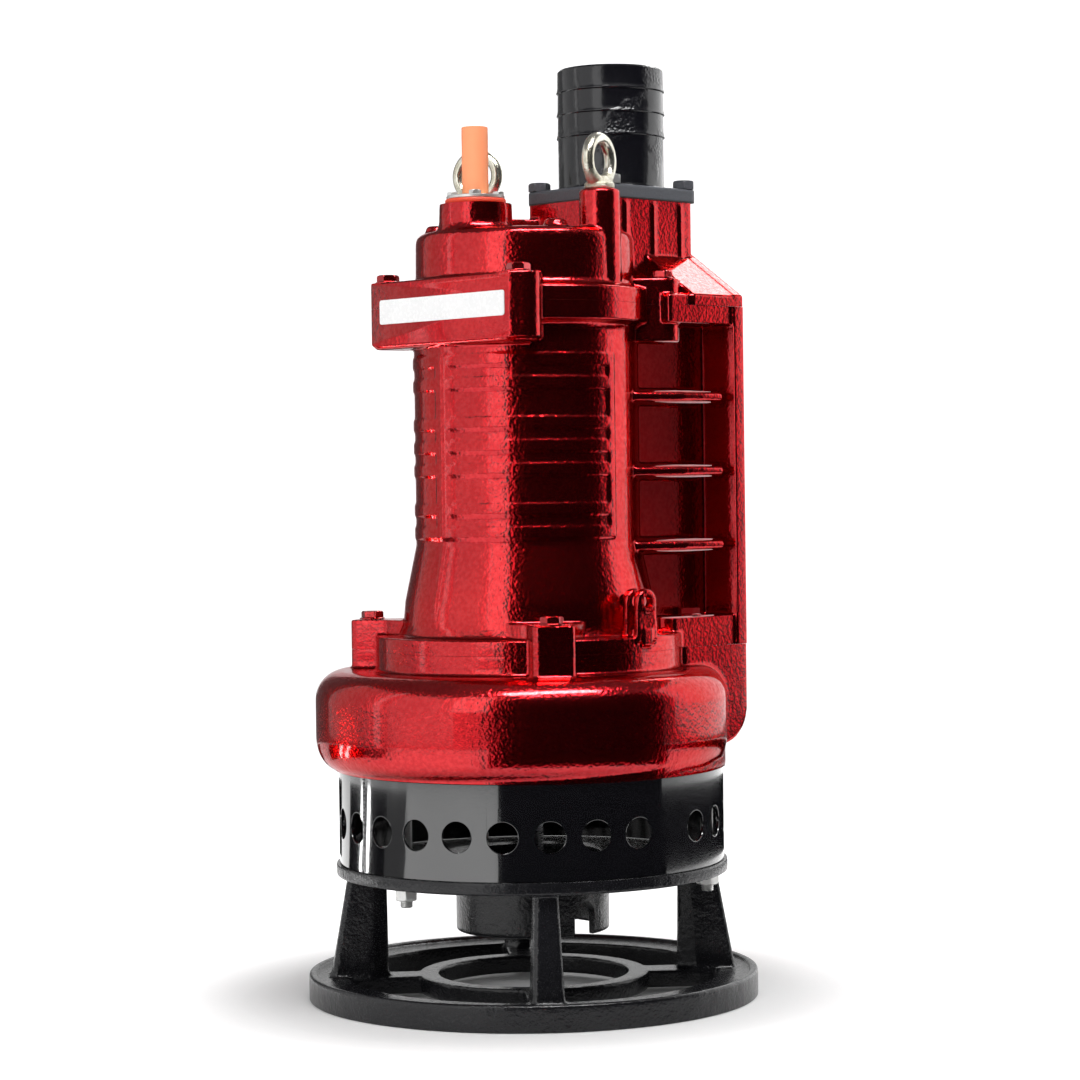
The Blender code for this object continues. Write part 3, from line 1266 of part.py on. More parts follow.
def cover_dome():
    return turned("top_cover", [
        (0.0, COVER_TOP), (COVER_RADIUS - COVER_EDGE, COVER_TOP),
        (COVER_RADIUS - COVER_EDGE / 4, COVER_TOP - COVER_EDGE / 4), (COVER_RADIUS, COVER_TOP - COVER_EDGE),
        (COVER_RADIUS, UPPER_JOINT + COVER_FLANGE), (TOP_FLANGE_RADIUS, UPPER_JOINT + COVER_FLANGE),
        (TOP_FLANGE_RADIUS, UPPER_JOINT + GAP), (0.0, UPPER_JOINT + GAP)], BIG_STEPS, closed=False)


def make_top_cover():
    bottom = UPPER_JOINT + GAP
    cover = cover_dome()
    outlet = box("outlet_box", (BOX_FRONT, -BOX_HALF_WIDTH, bottom), (BOX_BACK, BOX_HALF_WIDTH, BOX_TOP))
    corner = slab("duct_cover", [flange_plan()], bottom, UPPER_JOINT + COVER_CORNER_HEIGHT)
    gland = rods("gland_boss", GLAND_BOSS_RADIUS, COVER_TOP - OVERRUN, GLAND_TOP, [(GLAND_X, 0.0)],
                 SMALL_STEPS)
    eyes = rods("eye_bosses", EYE_BOSS_RADIUS, UPPER_JOINT + COVER_FLANGE, UPPER_JOINT + EYE_BOSS_TOP,
                eye_places(), HOLE_STEPS)
    plugs = rods("low_bosses", PLUG_BOSS_RADIUS, COVER_TOP - OVERRUN, COVER_TOP + PLUG_BOSS_HEIGHT,
                 places_on(PLUG_BOSS_CIRCLE, PLUG_BOSS_ANGLES), HOLE_STEPS)
    joined(cover, outlet, corner, cover_gusset(), gland, eyes, plugs,
           *lugs("cover", upper_lug_outline(), UPPER_LUG_ANGLES, bottom, UPPER_JOINT + UPPER_LUG_RISE),
           front_block("cover", bottom, UPPER_JOINT + UPPER_LUG_RISE))
    chamber = rods("terminal_chamber", COVER_BORE, UPPER_JOINT - OVERRUN, COVER_TOP - COVER_ROOF,
                   [(0.0, 0.0)], MIDDLE_STEPS)
    cable = rods("cable_hole", matched_bore(CABLE_RADIUS, HOLE_STEPS), COVER_TOP - COVER_ROOF - OVERRUN,
                 GLAND_TOP + OVERRUN, [(GLAND_X, 0.0)], HOLE_STEPS)
    throat = UPPER_JOINT + THROAT_RISE
    water = box("cover_passage", (PASSAGE_INNER, -COVER_PASSAGE_HALF_WIDTH, UPPER_JOINT - OVERRUN),
                (PASSAGE_OUTER, COVER_PASSAGE_HALF_WIDTH, throat + OVERRUN))
    outlet_bore = rods("outlet_bore", TAIL_BORE, throat, BOX_TOP + OVERRUN, [(TAIL_X, 0.0)], MIDDLE_STEPS)
    cut(cover, chamber, cable, water, outlet_bore,
        bolt_holes("cover_bolt_holes", places_on(UPPER_BOLT_CIRCLE, UPPER_LUG_ANGLES),
                   UPPER_JOINT - OVERRUN, UPPER_JOINT + UPPER_LUG_RISE + OVERRUN),
        bolt_holes("gland_bolt_holes", gland_bolt_places(), GLAND_TOP - GLAND_BOLT_DEPTH - GAP,
                   GLAND_TOP + OVERRUN, SCREW_RADIUS),
        bolt_holes("tail_bolt_holes", tail_bolt_places(), BOX_TOP - TAIL_BOLT_DEPTH - GAP, BOX_TOP + OVERRUN),
        bolt_holes("eye_holes", eye_places(), UPPER_JOINT + EYE_BOSS_TOP - EYE_SHANK_LENGTH - GAP,
                   UPPER_JOINT + EYE_BOSS_TOP + OVERRUN, EYE_SHANK_RADIUS))
    return finished(cover, "red_gloss_paint")


# Cable gland and cable

def gland_disc(name, radius, bottom, top):
    """A disc with the cable's hole."""
    disc = rods(name, radius, bottom, top, [(GLAND_X, 0.0)], SMALL_STEPS)
    cable = rods(name + "_hole", matched_bore(CABLE_RADIUS, HOLE_STEPS), bottom - OVERRUN, top + OVERRUN,
                 [(GLAND_X, 0.0)], HOLE_STEPS)
    return cut(disc, cable)


def make_cable_gland():
    rubber_bottom = GLAND_TOP + GAP
    rubber_top = rubber_bottom + RUBBER_THICKNESS
    plate_bottom = rubber_top + GAP
    plate_top = plate_bottom + GLAND_PLATE_THICKNESS
    rubber = gland_disc("gland_rubber", RUBBER_RADIUS, rubber_bottom, rubber_top)
    cut(rubber, bolt_holes("rubber_screw_holes", gland_bolt_places(), rubber_bottom - OVERRUN,
                           rubber_top + OVERRUN, SCREW_RADIUS))
    finished(rubber, "red_rubber")
    cap = gland_disc("gland_plate", GLAND_PLATE_RADIUS, plate_bottom, plate_top)
    seat = (plate_bottom + plate_top) / 2
    for index, centre in enumerate(gland_bolt_places()):
        screw = hex_bolt("gland_screw_%d" % index, seat, SCREW_FLATS, plate_top + SCREW_HEAD - seat,
                         SCREW_RADIUS, seat - GLAND_TOP + GLAND_BOLT_DEPTH)
        screw.location = (*centre, 0.0)
        joined(cap, screw)
    finished(cap, "bright_zinc")


def make_power_cable():
    route = [(GLAND_X, 0.0, GLAND_TOP - CABLE_TAIL), (GLAND_X, 0.0, GLAND_TOP + CABLE_TOP)]
    curve = bpy.data.curves.new("power_cable", "CURVE")
    curve.dimensions = "3D"
    curve.bevel_depth = CABLE_RADIUS
    curve.bevel_resolution = HOLE_STEPS // 2 - 2
    curve.use_fill_caps = True
    spline = curve.splines.new("POLY")
    spline.points.add(len(route) - 1)
    for point, centre in zip(spline.points, route):
        point.co = (*centre, 1.0)
    return finished(plain_mesh(place("power_cable", curve)), "orange_cable_jacket")


# Eye bolts

def make_eye_bolt(name, centre, turn):
    seat = UPPER_JOINT + EYE_BOSS_TOP + GAP
    ring_centre = seat + EYE_COLLAR_HEIGHT + EYE_RING_RADIUS - EYE_SINK
    wire = circle(EYE_WIRE_RADIUS, EYE_WIRE_STEPS, (EYE_RING_RADIUS, 0.0))
    eye = turned(name, list(reversed(wire)), EYE_RING_STEPS)
    tilt = Matrix.Rotation(radians(turn), 4, "Z") @ Matrix.Rotation(radians(QUARTER_TURN), 4, "Y")
    eye.matrix_world = Matrix.Translation((*centre, ring_centre)) @ tilt
    neck_top = seat + EYE_COLLAR_HEIGHT + EYE_WIRE_RADIUS / 2
    foot = turned(name + "_foot", [
        (0.0, neck_top), (EYE_NECK_RADIUS, neck_top),
        (EYE_COLLAR_RADIUS, seat + EYE_COLLAR_HEIGHT / 2), (EYE_COLLAR_RADIUS, seat),
        (EYE_SHANK_RADIUS, seat), (EYE_SHANK_RADIUS, seat - EYE_SHANK_LENGTH),
        (0.0, seat - EYE_SHANK_LENGTH)], ROD_STEPS, closed=False, centre=centre)
    return finished(joined(eye, foot), "yellow_zinc")


# Hose tail

def tail_flange_outline():
    half = TAIL_FLANGE_HALF
    return rounded([(TAIL_X - half, -half), (TAIL_X + half, -half),
                    (TAIL_X + half, half), (TAIL_X - half, half)],
                   TAIL_FLANGE_CORNER, LUG_ARC_STEPS)


def tail_profile(bottom):
    """Lip, barbs that widen downwards, and the straight neck, down to the flange."""
    lowest = TAIL_BOTTOM + TAIL_FLANGE_THICKNESS + TAIL_STRAIGHT
    top = lowest + TAIL_BARB_PITCH * (TAIL_BARBS - 1) + TAIL_LIP
    profile = [(0.0, top), (TAIL_RADIUS - TAIL_EDGE * 2, top), (TAIL_RADIUS, top - TAIL_EDGE)]
    for index in reversed(range(TAIL_BARBS)):
        step = lowest + TAIL_BARB_PITCH * index
        profile += [(TAIL_BARB_RADIUS, step), (TAIL_RADIUS, step - BARB_UNDERCUT)]
    return profile + [(TAIL_RADIUS, bottom), (0.0, bottom)], top


def make_hose_tail():
    flange_top = TAIL_BOTTOM + TAIL_FLANGE_THICKNESS
    tail = slab("hose_tail", [tail_flange_outline()], TAIL_BOTTOM, flange_top)
    profile, top = tail_profile(TAIL_BOTTOM + OVERRUN)
    barrel = turned("tail_barrel", profile, MIDDLE_STEPS, closed=False, centre=(TAIL_X, 0.0))
    bore = rods("tail_bore", TAIL_BORE, TAIL_BOTTOM - OVERRUN, top + OVERRUN, [(TAIL_X, 0.0)], MIDDLE_STEPS)
    joined(tail, barrel)
    cut(tail, bore, bolt_holes("tail_holes", tail_bolt_places(), TAIL_BOTTOM - OVERRUN, flange_top + OVERRUN))
    return finished(tail, "gloss_black_enamel")


def make_tail_gasket():
    outline = tail_flange_outline()
    opening = circle(TAIL_BORE, MIDDLE_STEPS, (TAIL_X, 0.0))
    holes = [circle(bore_radius(BOLT_RADIUS, HOLE_STEPS), HOLE_STEPS, centre)
             for centre in tail_bolt_places()]
    gasket = slab("hose_tail_gasket", [outline, opening, *holes], BOX_TOP + GAP, TAIL_BOTTOM - GAP)
    return finished(gasket, "black_rubber")


def make_tail_bolts():
    flange_top = TAIL_BOTTOM + TAIL_FLANGE_THICKNESS
    depth = flange_top - BOX_TOP + TAIL_BOLT_DEPTH
    bolt = hex_bolt("hose_tail_bolt", flange_top + GAP, TAIL_BOLT_FLATS, TAIL_BOLT_HEAD, BOLT_RADIUS, depth)
    finished(bolt, "grey_black_coating")
    return copies("hose_tail_bolt", bolt, tail_bolt_places())


def main():
    make_stand_base()
    make_stand_legs()
    make_stand_deck()
    make_suction_skirt()
    make_stand_studs()
    make_stand_nuts()
    make_strainer_band()
    make_volute_casing()
    make_suction_cover()
    make_pump_shaft()
    make_impeller()
    make_impeller_nut()
    make_agitator()
    make_motor_core()
    make_oil_housing()
    make_seals()
    make_lower_bracket()
    make_upper_bracket()
    make_motor_housing()
    make_discharge_duct()
    make_joint_bolts("housing_bolt", LOWER_BOLT_CIRCLE, LOWER_LUG_ANGLES,
                     LOWER_JOINT + LOWER_LUG_HEIGHT, LOWER_LUG_HEIGHT + BOLT_DEPTH)
    make_top_cover()
    make_joint_bolts("cover_bolt", UPPER_BOLT_CIRCLE, UPPER_LUG_ANGLES,
                     UPPER_JOINT + UPPER_LUG_RISE, UPPER_LUG_RISE + UPPER_BOLT_DEPTH)
    make_cable_gland()
    make_power_cable()
    for name, centre, turn in zip(("eye_bolt_right", "eye_bolt_left"), eye_places(), EYE_TURNS):
        make_eye_bolt(name, centre, turn)
    make_tail_gasket()
    make_hose_tail()
    make_tail_bolts()


clear_scene()
PARTS = make_collection(ASSEMBLY)
CUTTERS = make_collection(ASSEMBLY + "_cutters")
main()
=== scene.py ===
from math import atan2, cos, degrees, pi, radians, sin, sqrt, tan

import bmesh
import bpy
from mathutils import Matrix, Vector


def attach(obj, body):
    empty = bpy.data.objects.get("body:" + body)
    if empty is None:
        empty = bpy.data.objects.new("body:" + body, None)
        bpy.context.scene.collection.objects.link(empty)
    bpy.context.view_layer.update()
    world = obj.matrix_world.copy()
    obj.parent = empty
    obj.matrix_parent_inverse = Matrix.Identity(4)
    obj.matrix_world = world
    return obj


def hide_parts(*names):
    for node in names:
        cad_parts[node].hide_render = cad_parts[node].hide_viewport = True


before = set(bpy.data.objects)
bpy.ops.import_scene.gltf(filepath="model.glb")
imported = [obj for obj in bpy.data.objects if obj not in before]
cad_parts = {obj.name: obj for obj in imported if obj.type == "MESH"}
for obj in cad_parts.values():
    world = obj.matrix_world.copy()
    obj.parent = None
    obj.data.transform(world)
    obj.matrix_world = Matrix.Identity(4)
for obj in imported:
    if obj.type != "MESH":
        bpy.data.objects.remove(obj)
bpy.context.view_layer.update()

# Heights and radii repeated from the part's source, in metres
GAP = 0.0003
BASE_RADIUS, BASE_HEIGHT = 0.215, 0.0247
WEB_TOP = 0.0207
DECK_BOTTOM, DECK_TOP, DECK_RADIUS = 0.1177, 0.1292, 0.1873
VOLUTE_BOTTOM, VOLUTE_TOP = 0.2185, 0.3130
LOWER_JOINT, UPPER_JOINT = 0.3310, 0.6570
COVER_TOP, GLAND_TOP, BOX_TOP = 0.7275, 0.7520, 0.7620
TAIL_BOTTOM = BOX_TOP + 0.0015
FLANGE_RADIUS, BARREL_RADIUS, HOUSING_BORE = 0.147, 0.1071, 0.099
BLOCK_BACK, BLOCK_HALF = 0.177, 0.120
DUCT_FRONT, DUCT_BACK, DUCT_HALF = 0.060, 0.163, 0.078
PASSAGE = (0.1135, 0.157, 0.066)
LOWER_LUGS, LOWER_CIRCLE, LOWER_LUG_HEIGHT = (-125.0, -35.5, 35.5, 125.0), 0.1555, 0.0285
UPPER_LUGS, UPPER_CIRCLE = (-135.0, -45.0, 45.0, 135.0), 0.131
UPPER_DROP, UPPER_RISE = 0.035, 0.025
TAIL_X, TAIL_BORE, TAIL_RADIUS = 0.1175, 0.0455, 0.0518
GLAND_X = -0.0615
HEAD_FLATS = 0.019
EYE_X, EYE_Y = 0.018, 0.086
EYES = (("right", (EYE_X, -EYE_Y), -73.6), ("left", (EYE_X, EYE_Y), -158.6))
EYE_SEAT = 0.7640 + GAP

# How finely the castings are made
SPARE = 0.003                  # raw stock left on a machined face before it is cut flat
REACH = 0.020                  # how far a cutter runs past what it cuts
FAR = 0.5                      # past everything
MOST_TRIANGLES = 180000
ROUND_STEPS = 160


# Finishes

class Level:
    """A number that changes over a surface. Sums and products of levels become Math nodes."""

    def __init__(self, finish, socket):
        self.finish, self.socket = finish, socket

    def math(self, operation, *values):
        node = self.finish.node("ShaderNodeMath", {"operation": operation}, dict(enumerate(values)))
        return Level(self.finish, node.outputs[0])

    def __add__(self, other):
        return self.math("ADD", self, other)

    def __rsub__(self, other):
        return self.math("SUBTRACT", other, self)

    def __mul__(self, other):
        return self.math("MULTIPLY", self, other)

    __radd__ = __add__
    __rmul__ = __mul__

    def rising(self, low, high):
        """0 below one value, 1 above the other, and smooth between them."""
        node = self.finish.node("ShaderNodeMapRange", {"interpolation_type": "SMOOTHSTEP"},
                                {"Value": self, "From Min": low, "From Max": high})
        return Level(self.finish, node.outputs["Result"])


class Finish:
    """One material, built up from noise in the piece's own coordinates."""

    def __init__(self, name):
        self.material = bpy.data.materials.new(name)
        self.material.use_nodes = True
        self.tree = self.material.node_tree
        self.shader = self.tree.nodes["Principled BSDF"]
        self.place = self.node("ShaderNodeTexCoord", {}, {}).outputs["Object"]
        self.relief = None

    def node(self, kind, settings, values):
        node = self.tree.nodes.new(kind)
        for key, value in settings.items():
            setattr(node, key, value)
        for key, value in values.items():
            self.feed(node.inputs[key], value)
        return node

    def feed(self, socket, value):
        if isinstance(value, Level):
            value = value.socket
        if isinstance(value, bpy.types.NodeSocket):
            self.tree.links.new(value, socket)
        else:
            socket.default_value = value

    def set(self, **values):
        for key, value in values.items():
            self.feed(self.shader.inputs[key.replace("_", " ").title().replace("Ior", "IOR")], value)

    def noise(self, scale, detail=2.0, roughness=0.5, stretch=None):
        vector = self.place
        if stretch:
            mapping = self.node("ShaderNodeMapping", {}, {"Vector": vector, "Scale": stretch})
            vector = mapping.outputs["Vector"]
        node = self.node("ShaderNodeTexNoise", {}, {
            "Vector": vector, "Scale": scale, "Detail": detail, "Roughness": roughness})
        return Level(self, node.outputs["Fac"])

    def cells(self, scale, smoothness=0.6):
        node = self.node("ShaderNodeTexVoronoi", {"feature": "SMOOTH_F1"}, {
            "Vector": self.place, "Scale": scale, "Smoothness": smoothness})
        return Level(self, node.outputs["Distance"])

    def height(self):
        node = self.node("ShaderNodeSeparateXYZ", {}, {"Vector": self.place})
        return Level(self, node.outputs["Z"])

    def blend(self, share, first, second):
        node = self.node("ShaderNodeMix", {"data_type": "RGBA"}, {"Factor": share})
        for socket, colour in zip([s for s in node.inputs if s.type == "RGBA"], (first, second)):
            self.feed(socket, (*colour, 1.0) if isinstance(colour, tuple) else colour)
        return next(s for s in node.outputs if s.type == "RGBA")

    def bump(self, level, depth, strength=1.0):
        """Adds relief of one depth in metres on top of what is there."""
        values = {"Height": level, "Distance": depth, "Strength": strength}
        if self.relief:
            values["Normal"] = self.relief
        self.relief = self.node("ShaderNodeBump", {}, values).outputs["Normal"]
        self.feed(self.shader.inputs["Normal"], self.relief)


def hammered_relief(finish, cell, depth):
    """The dimpled skin of a painted casting."""
    finish.bump(finish.noise(30.0, 2.0), depth * 3.0)
    finish.bump(finish.noise(0.6 / cell, 1.5, 0.45), depth * 2.0)
    finish.bump(finish.cells(1.0 / cell, 0.8), depth)
    finish.bump(finish.noise(2.6 / cell, 2.0), depth * 0.3)


def simple_finish(name, tint, first, second, grain, roughness, relief, depth, **more):
    """Two colours, a roughness and a relief, each from a noise of its own."""
    finish = Finish(name)
    least, spread = roughness
    finish.set(base_color=finish.blend(finish.noise(*tint), first, second),
               roughness=finish.noise(*grain) * spread + least, **more)
    finish.bump(finish.noise(*relief), depth)
    return finish.material


def red_casting_paint():
    finish = Finish("red_gloss_paint")
    drift = finish.noise(9.0, 3.0)
    grain = finish.noise(420.0, 2.0)
    mottle = finish.noise(240.0, 3.0, 0.6).rising(0.38, 0.62)
    tint = finish.blend(drift.rising(0.3, 0.7), (0.42, 0.008, 0.014), (0.54, 0.016, 0.020))
    finish.set(base_color=finish.blend(mottle * 0.25, tint, (0.27, 0.004, 0.008)),
               roughness=grain * 0.08 + 0.14, metallic=0.985, specular_tint=(0.60, 0.10, 0.12, 1.0),
               coat_weight=0.6 - mottle * 0.2, coat_roughness=0.08, coat_ior=1.5)
    hammered_relief(finish, 0.0027, 0.00020)
    return finish.material


def black_casting_paint():
    finish = Finish("satin_black_casting")
    speck = finish.noise(900.0, 1.0).rising(0.62, 0.72)
    finish.set(base_color=finish.blend(finish.noise(14.0, 3.0), (0.004, 0.004, 0.005), (0.009, 0.009, 0.011)),
               roughness=finish.noise(260.0, 2.0) * 0.16 + 0.15 + speck * 0.1, specular_ior_level=0.4)
    finish.bump(finish.noise(55.0, 2.0), 0.0010)
    finish.bump(finish.cells(280.0, 0.8), 0.0002)
    finish.bump(finish.noise(420.0, 2.0, 0.6), 0.0004)
    return finish.material


def black_band_enamel():
    finish = Finish("gloss_black_enamel")
    finish.set(base_color=(0.004, 0.004, 0.005, 1.0), roughness=finish.noise(90.0, 3.0) * 0.06 + 0.07,
               specular_ior_level=0.5, coat_weight=1.0, coat_roughness=0.05, coat_ior=1.75)
    finish.bump(finish.noise(18.0, 2.0, 0.5, (1.0, 1.0, 0.35)), 0.0003)
    finish.bump(finish.noise(380.0, 2.0), 0.00003)
    return finish.material


def black_tail_paint():
    """Gloss black over a rough casting, smooth in places and lumpy in others."""
    finish = Finish("hose_tail_paint")
    rough = finish.noise(26.0, 2.0).rising(0.48, 0.60)
    finish.set(base_color=(0.005, 0.005, 0.007, 1.0), specular_ior_level=0.4,
               roughness=finish.noise(200.0, 2.0) * 0.10 + 0.12 + rough * 0.08,
               coat_weight=0.2, coat_roughness=0.06)
    finish.bump(finish.cells(330.0) * rough, 0.0007)
    finish.bump(finish.noise(300.0, 3.0) * (rough * 0.8 + 0.2), 0.0005)
    finish.bump(finish.noise(45.0), 0.0006)
    return finish.material


def forged_zinc():
    """Yellowish zinc over a forging, smooth on the ring and scaly towards the collar."""
    finish = Finish("yellow_zinc")
    scale = 1.0 - finish.height().rising(0.7735, 0.7850)
    warm = finish.blend(finish.noise(70.0, 3.0).rising(0.35, 0.65), (0.50, 0.47, 0.38), (0.66, 0.64, 0.56))
    flake = finish.noise(900.0, 2.0).rising(0.5, 0.7) * scale
    finish.set(base_color=finish.blend(flake, warm, (0.30, 0.29, 0.16)),
               roughness=finish.noise(300.0, 2.0) * 0.14 + 0.16 + scale * 0.12, metallic=0.95)
    finish.bump(finish.noise(620.0, 3.0, 0.65) * scale, 0.0012)
    finish.bump(finish.noise(160.0, 2.0), 0.0005)
    return finish.material


def turned_steel():
    finish = Finish("machined_steel")
    rings = finish.noise(2400.0, 1.0, 0.5, (0.05, 0.05, 1.0))
    finish.set(base_color=finish.blend(finish.noise(40.0), (0.46, 0.46, 0.47), (0.58, 0.58, 0.58)),
               roughness=rings * 0.2 + 0.16, metallic=1.0)
    finish.bump(rings, 0.00006)
    return finish.material


def bare_iron():
    finish = Finish("cast_iron")
    rust = finish.noise(60.0, 4.0).rising(0.55, 0.75)
    finish.set(base_color=finish.blend(rust * 0.5, (0.085, 0.085, 0.088), (0.16, 0.09, 0.05)),
               roughness=finish.noise(300.0, 3.0) * 0.25 + 0.45, metallic=0.6)
    finish.bump(finish.noise(260.0, 3.0, 0.6), 0.0006)
    finish.bump(finish.noise(900.0, 2.0), 0.0002)
    return finish.material


def orange_jacket():
    finish = Finish("orange_cable_jacket")
    streak = finish.noise(60.0, 2.0, 0.5, (1.0, 1.0, 0.08))
    finish.set(base_color=finish.blend(streak, (0.90, 0.28, 0.11), (0.96, 0.34, 0.15)),
               roughness=finish.noise(400.0, 2.0) * 0.14 + 0.40)
    finish.bump(finish.noise(130.0, 2.0, 0.5, (1.0, 1.0, 0.2)), 0.0002)
    finish.bump(finish.noise(1400.0, 1.0), 0.00004)
    return finish.material


def wound_copper():
    finish = Finish("copper_winding")
    strand = finish.noise(700.0, 1.0, 0.5, (1.0, 1.0, 0.15))
    finish.set(base_color=finish.blend(strand, (0.50, 0.17, 0.07), (0.72, 0.33, 0.16)),
               roughness=finish.noise(200.0) * 0.2 + 0.25, metallic=0.9, coat_weight=0.5)
    finish.bump(strand, 0.0006)
    return finish.material


FINISHES = {
    "red_gloss_paint": red_casting_paint(),
    "red_bolt_paint": simple_finish(
        "red_bolt_paint", (60.0,), (0.36, 0.008, 0.014), (0.48, 0.016, 0.020), (300.0,), (0.16, 0.10),
        (260.0,), 0.0002, metallic=0.97, coat_weight=0.6, coat_roughness=0.1),
    "satin_black_casting": black_casting_paint(),
    "gloss_black_enamel": black_band_enamel(),
    "hose_tail_paint": black_tail_paint(),
    "grey_black_coating": simple_finish(
        "grey_black_coating", (500.0,), (0.030, 0.033, 0.042), (0.060, 0.064, 0.076), (120.0,), (0.38, 0.18),
        (700.0,), 0.00025),
    "yellow_zinc": forged_zinc(),
    "bright_zinc": simple_finish(
        "bright_zinc", (240.0, 3.0), (0.50, 0.50, 0.50), (0.72, 0.72, 0.70), (500.0, 3.0), (0.24, 0.22),
        (900.0,), 0.00012, metallic=0.92),
    "machined_steel": turned_steel(),
    "cast_iron": bare_iron(),
    "orange_cable_jacket": orange_jacket(),
    "red_rubber": simple_finish(
        "red_rubber", (300.0, 3.0), (0.66, 0.045, 0.010), (0.78, 0.075, 0.018), (500.0,), (0.48, 0.2),
        (800.0,), 0.0001),
    "black_rubber": simple_finish(
        "black_rubber", (300.0, 3.0), (0.010, 0.010, 0.010), (0.022, 0.022, 0.022), (500.0,), (0.48, 0.2),
        (800.0,), 0.0001),
    "copper_winding": wound_copper(),
    "hard_carbide": simple_finish(
        "hard_carbide", (900.0,), (0.03, 0.03, 0.035), (0.06, 0.06, 0.07), (300.0,), (0.10, 0.1),
        (1200.0,), 0.00003, metallic=0.3),
    "white_plate": simple_finish(
        "white_plate", (40.0,), (0.80, 0.80, 0.80), (0.86, 0.86, 0.86), (300.0,), (0.22, 0.1),
        (200.0,), 0.00008, coat_weight=0.3),
}


# Solids

def polar(radius, angle):
    return radius * cos(radians(angle)), radius * sin(radians(angle))


def circle(radius, steps, centre=(0.0, 0.0)):
    corners = [polar(radius, 360.0 * index / steps) for index in range(steps)]
    return [(centre[0] + x, centre[1] + y) for x, y in corners]


def rounded(corners, radius, steps=10):
    """A closed outline with an arc of one radius at each corner."""
    outline = []
    for index, corner in enumerate(corners):
        here = Vector(corner)
        back = (Vector(corners[index - 1]) - here).normalized()
        ahead = (Vector(corners[(index + 1) % len(corners)]) - here).normalized()
        half = back.angle(ahead) / 2
        centre = here + (back + ahead).normalized() * (radius / sin(half))
        first = here + back * (radius / tan(half)) - centre
        last = here + ahead * (radius / tan(half)) - centre
        start = atan2(first.y, first.x)
        sweep = (atan2(last.y, last.x) - start + pi) % (2 * pi) - pi
        for step in range(steps + 1):
            angle = start + sweep * step / steps
            outline.append((centre.x + radius * cos(angle), centre.y + radius * sin(angle)))
    return outline


def arch(half, centre, crown):
    """A half circle over a centre, from right to left."""
    turns = [pi * step / 24 for step in range(25)]
    return [(centre + half * cos(turn), crown - half + half * sin(turn)) for turn in turns]


def lifted(base, points):
    """A profile whose heights are given from a base."""
    return [(radius, base + height) for radius, height in points]


def rectangle(low, high):
    return [(low[0], low[1]), (high[0], low[1]), (high[0], high[1]), (low[0], high[1])]


def turned_in_plan(outline, angle):
    turn = Matrix.Rotation(radians(angle), 2)
    return [tuple(turn @ Vector(corner)) for corner in outline]


def add_loft(work, rings, closed=False):
    """Skins rings of equally many points, and caps the ends of an open run."""
    rows = [[work.verts.new(point) for point in ring] for ring in rings]
    count = len(rows[0])
    pairs = list(zip(rows, rows[1:])) + ([(rows[-1], rows[0])] if closed else [])
    for near, far in pairs:
        for index in range(count):
            after = (index + 1) % count
            work.faces.new((near[index], near[after], far[after], far[index]))
    if not closed:
        work.faces.new(rows[0])
        work.faces.new(rows[-1])
    return [corner for row in rows for corner in row]


def add_slab(work, outline, bottom, top):
    return add_loft(work, [[(x, y, height) for x, y in outline] for height in (bottom, top)])


def add_box(work, low, high):
    return add_slab(work, rectangle(low[:2], high[:2]), low[2], high[2])


def add_turned(work, profile, steps=ROUND_STEPS, centre=(0.0, 0.0), closed=False):
    """A profile of (radius, height) points swept round an upright axis. It starts and ends on the axis."""
    rows = []
    for radius, height in profile:
        ring = circle(radius, steps, centre) if radius > 0.0 else [centre]
        rows.append([work.verts.new((x, y, height)) for x, y in ring])
    pairs = list(zip(rows, rows[1:])) + ([(rows[-1], rows[0])] if closed else [])
    for near, far in pairs:
        for index in range(steps):
            after = (index + 1) % steps
            corners = (near[index % len(near)], near[after % len(near)],
                       far[after % len(far)], far[index % len(far)])
            work.faces.new(list(dict.fromkeys(corners)))
    return [corner for row in rows for corner in row]


def add_rod(work, radius, bottom, top, centre=(0.0, 0.0), steps=64):
    return add_slab(work, circle(radius, steps, centre), bottom, top)


def turn_about(work, corners, matrix):
    bmesh.ops.transform(work, matrix=matrix, verts=corners)


# A plan drawn in XY and stood up so that its height runs along Z and its thickness along Y or X
FACING_Y = Matrix.Rotation(radians(90.0), 4, "X")
FACING_X = Matrix.Rotation(radians(90.0), 4, "Z") @ FACING_Y


def linked(name, data):
    thing = bpy.data.objects.new(name, data)
    bpy.context.scene.collection.objects.link(thing)
    return thing


def placed(name, work):
    mesh = bpy.data.meshes.new(name)
    bmesh.ops.recalc_face_normals(work, faces=work.faces)
    work.to_mesh(mesh)
    work.free()
    return linked(name, mesh)


def turned(name, profile, steps=ROUND_STEPS, centre=(0.0, 0.0), closed=False):
    work = bmesh.new()
    add_turned(work, profile, steps, centre, closed)
    return placed(name, work)


def upright(name, outline, bottom, top):
    work = bmesh.new()
    add_slab(work, outline, bottom, top)
    return placed(name, work)


def applied(thing):
    """The thing with its modifiers worked into its mesh."""
    graph = bpy.context.evaluated_depsgraph_get()
    mesh = bpy.data.meshes.new_from_object(thing.evaluated_get(graph))
    thing.modifiers.clear()
    thing.data = mesh
    return thing


def cut_by(thing, cutters):
    for cutter in cutters:
        step = thing.modifiers.new("Machine", "BOOLEAN")
        step.operation = "DIFFERENCE"
        step.solver = "MANIFOLD"
        step.object = cutter
    applied(thing)
    for cutter in cutters:
        bpy.data.objects.remove(cutter, do_unlink=True)
    return thing


def lightened(thing, most):
    triangles = sum(len(face.vertices) - 2 for face in thing.data.polygons)
    if triangles > most:
        step = thing.modifiers.new("Lighten", "DECIMATE")
        step.ratio = most / triangles
        applied(thing)
    return thing


